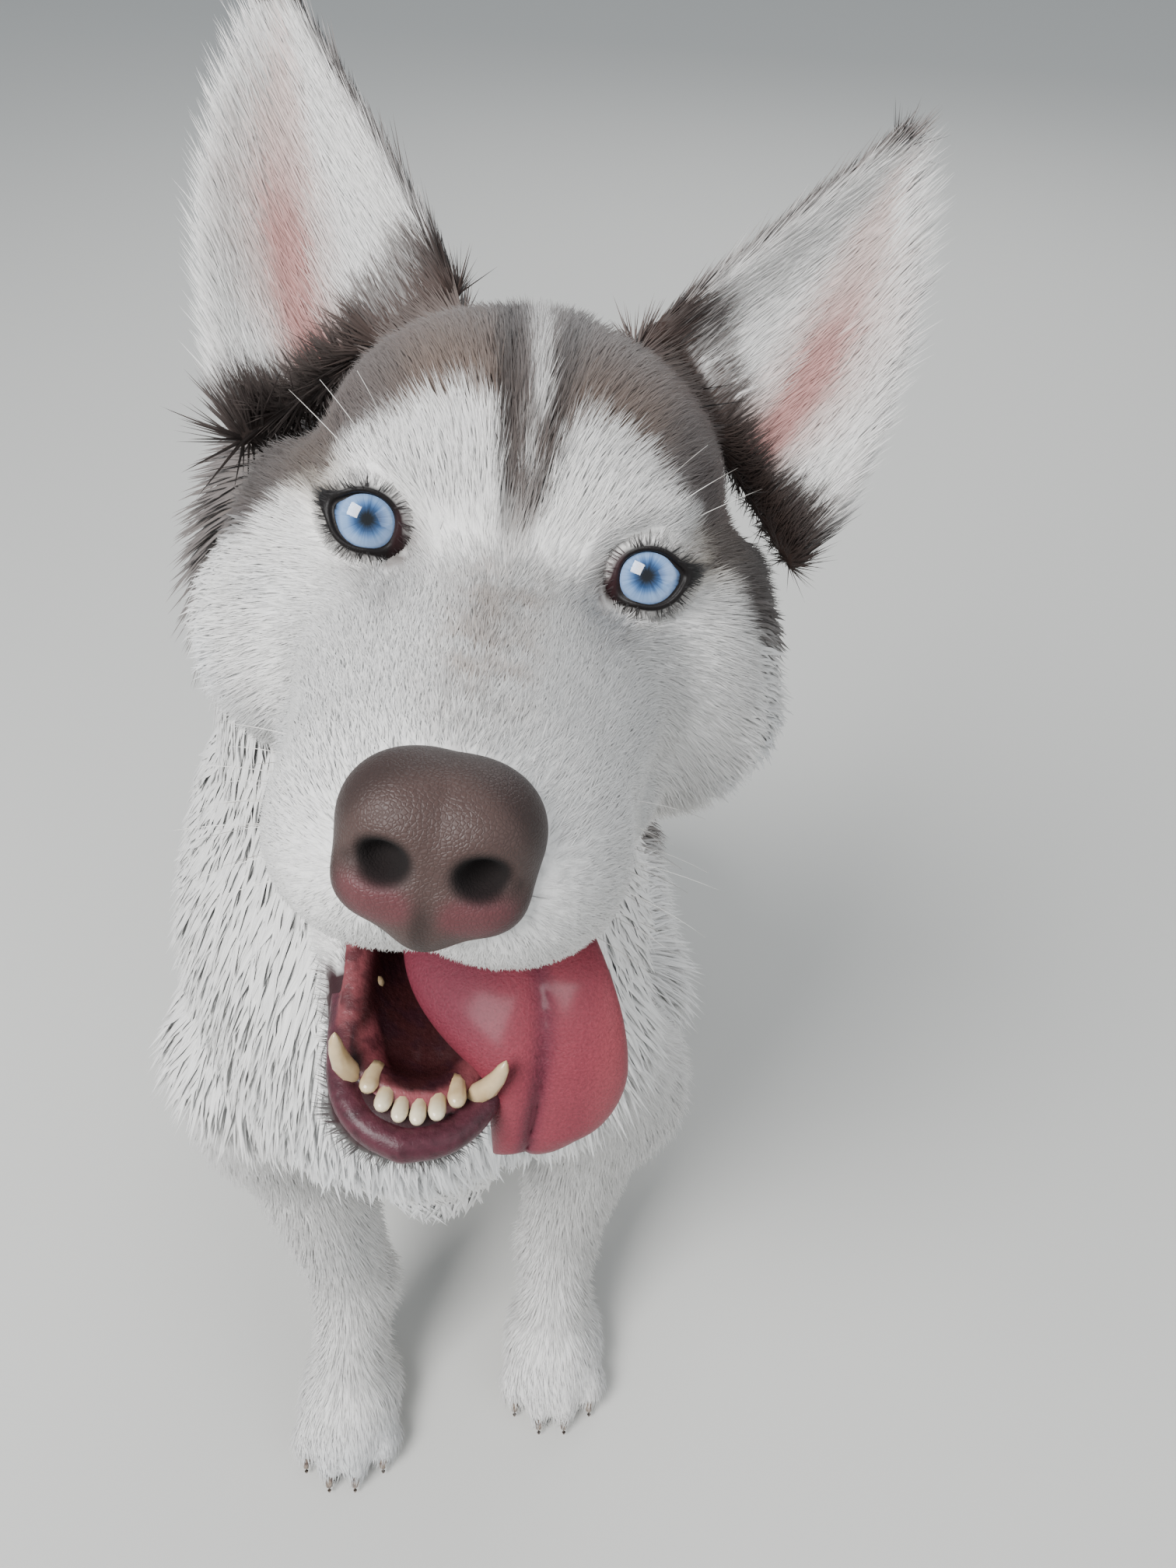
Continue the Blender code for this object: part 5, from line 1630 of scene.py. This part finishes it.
# %% Claws and whiskers
claws = []
feet = [np.array((leg["side"] * leg["paw"][0], leg["paw"][1], 0)) for leg in FRONT_LEGS.values()]
feet += [np.array((side * HIND_PAW[0] + LEAN, HIND_PAW[1], 0)) for side in (1, -1)]
for foot in feet:
    for step_out, set_back in CLAWS:
        tip = TOE_LINE + foot + (step_out * TOE_STEP, -PAW_SIZE[1] + set_back, 0)
        route = rounded([tip + (0, 0.012, 0.0110), tip + (0, 0.005, 0.0105), tip + (0, 0.0012, 0.0078),
                         tip + (0, -0.0014, 0.0036)], 1)
        radii = np.interp(np.linspace(0, 1, len(route)), (0, 0.6, 1), (0.0026, 0.0021, 0.0006))
        claws.append(loft(route, radii, sides=8))
claw_object = joined("claws", claws)


def streaked_material(name, pattern, codes, stops, roughness, relief=None):
    """Two colours mixed in streaks by a pattern."""
    made, tree, shader = new_material(name)
    height = pattern(tree)
    ramp = add(tree, "ShaderNodeValToRGB", inputs={"Fac": height})
    for element, code, stop in zip(ramp.color_ramp.elements, codes, stops):
        element.color, element.position = (*linear(code), 1), stop
    tree.links.new(ramp.outputs["Color"], shader.inputs["Base Color"])
    shader.inputs["Roughness"].default_value = roughness
    if relief:
        bump(tree, shader, height, *relief)
    return made


# Claw horn: dense keratin, dull and dark with paler streaks
claw_object.data.materials.append(streaked_material(
    "claw horn", grain(500.0, 3.0), ("5E504A", "A89889"), (0.38, 0.72), 0.4, (0.2, 0.0003)))


def whisker(start, way, reach, drop, root_radius, stations):
    """A long thin loft from start along way, drooping more and more, in the head's millimetres."""
    share = np.linspace(0, 1, stations)[:, None]
    route = from_head(np.array(start) + unit(way) * reach * share + np.array(drop) * share ** 2)
    return loft(route, np.interp(share[:, 0], (0, 1), (root_radius, 0.00005)), sides=4)

chance = np.random.default_rng(7)
whiskers = []
for side in (1, -1):
    for row in range(3):
        for number in range(5):
            y, z = -80 + number * 9 + row * 2, -38 - row * 5.5
            x = side * np.interp(y, (-85, -60, -35), (19, 24, 26))
            way = (side * (1.0 + 0.2 * number), 0.35 + 0.25 * number, -0.25 - 0.12 * row)
            reach, drop = chance.uniform(26, 44), np.array((0, 6, -9)) * chance.uniform(0.5, 1.2)
            whiskers.append(whisker((x, y, z), way, reach, drop, 0.00017, 9))
    for number in range(3):
        start = (side * (30 + 5 * number), 8 + 2 * number, 17 - 2 * number)
        whiskers.append(whisker(start, (side * (0.4 + 0.3 * number), -0.35, 0.9), 17, (side * 4, 7, 0), 0.00013, 7))
whisker_object = joined("whiskers", whiskers)

# Whisker: one thick smooth hair, white streaked with grey
whisker_object.data.materials.append(streaked_material(
    "whisker bristle", grain(60.0), ("8B847E", "EDEAE4"), (0.35, 0.55), 0.35))
print("claws", len(claws), "whiskers", len(whiskers))

# %% [markdown]
# ## Hand the pieces to the frame
# The solids of flesh, the eyes, the nose and the tongue are hidden, and the skin, the eyes, the nose and the tongue
# made here show in their place, with the coat, the mouth's lining, the teeth, the claws and the whiskers besides.
# Everything rides on the one still body. The temporary measures come off the skin, and the count of all triangles is
# printed.

# %% Finish
for family in (SHORT, LONG):
    for shape in list(family.objects):
        bpy.data.objects.remove(shape)
    bpy.data.collections.remove(family)
for spare in ("lie", "reach", "rise", "wide"):
    skin_object.data.attributes.remove(skin_object.data.attributes[spare])

FLESH_NODES = ["head", "jaw", "ear_left", "ear_right", "neck", "chest", "rump", "tail", "front_leg_left",
               "front_leg_right", "front_paw_left", "front_paw_right", "hind_leg_left", "hind_leg_right",
               "hind_foot_left", "hind_foot_right"]
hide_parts(*FLESH_NODES)
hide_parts("eye_left")
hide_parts("eye_right")
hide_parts("nose")
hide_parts("tongue")
everything = [skin_object, nose, tongue, lining, teeth_object, claw_object, whisker_object, *eyes, *coat_objects]
for piece in everything:
    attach(piece, "root")
print("triangles in all", sum(triangles(piece) for piece in everything))
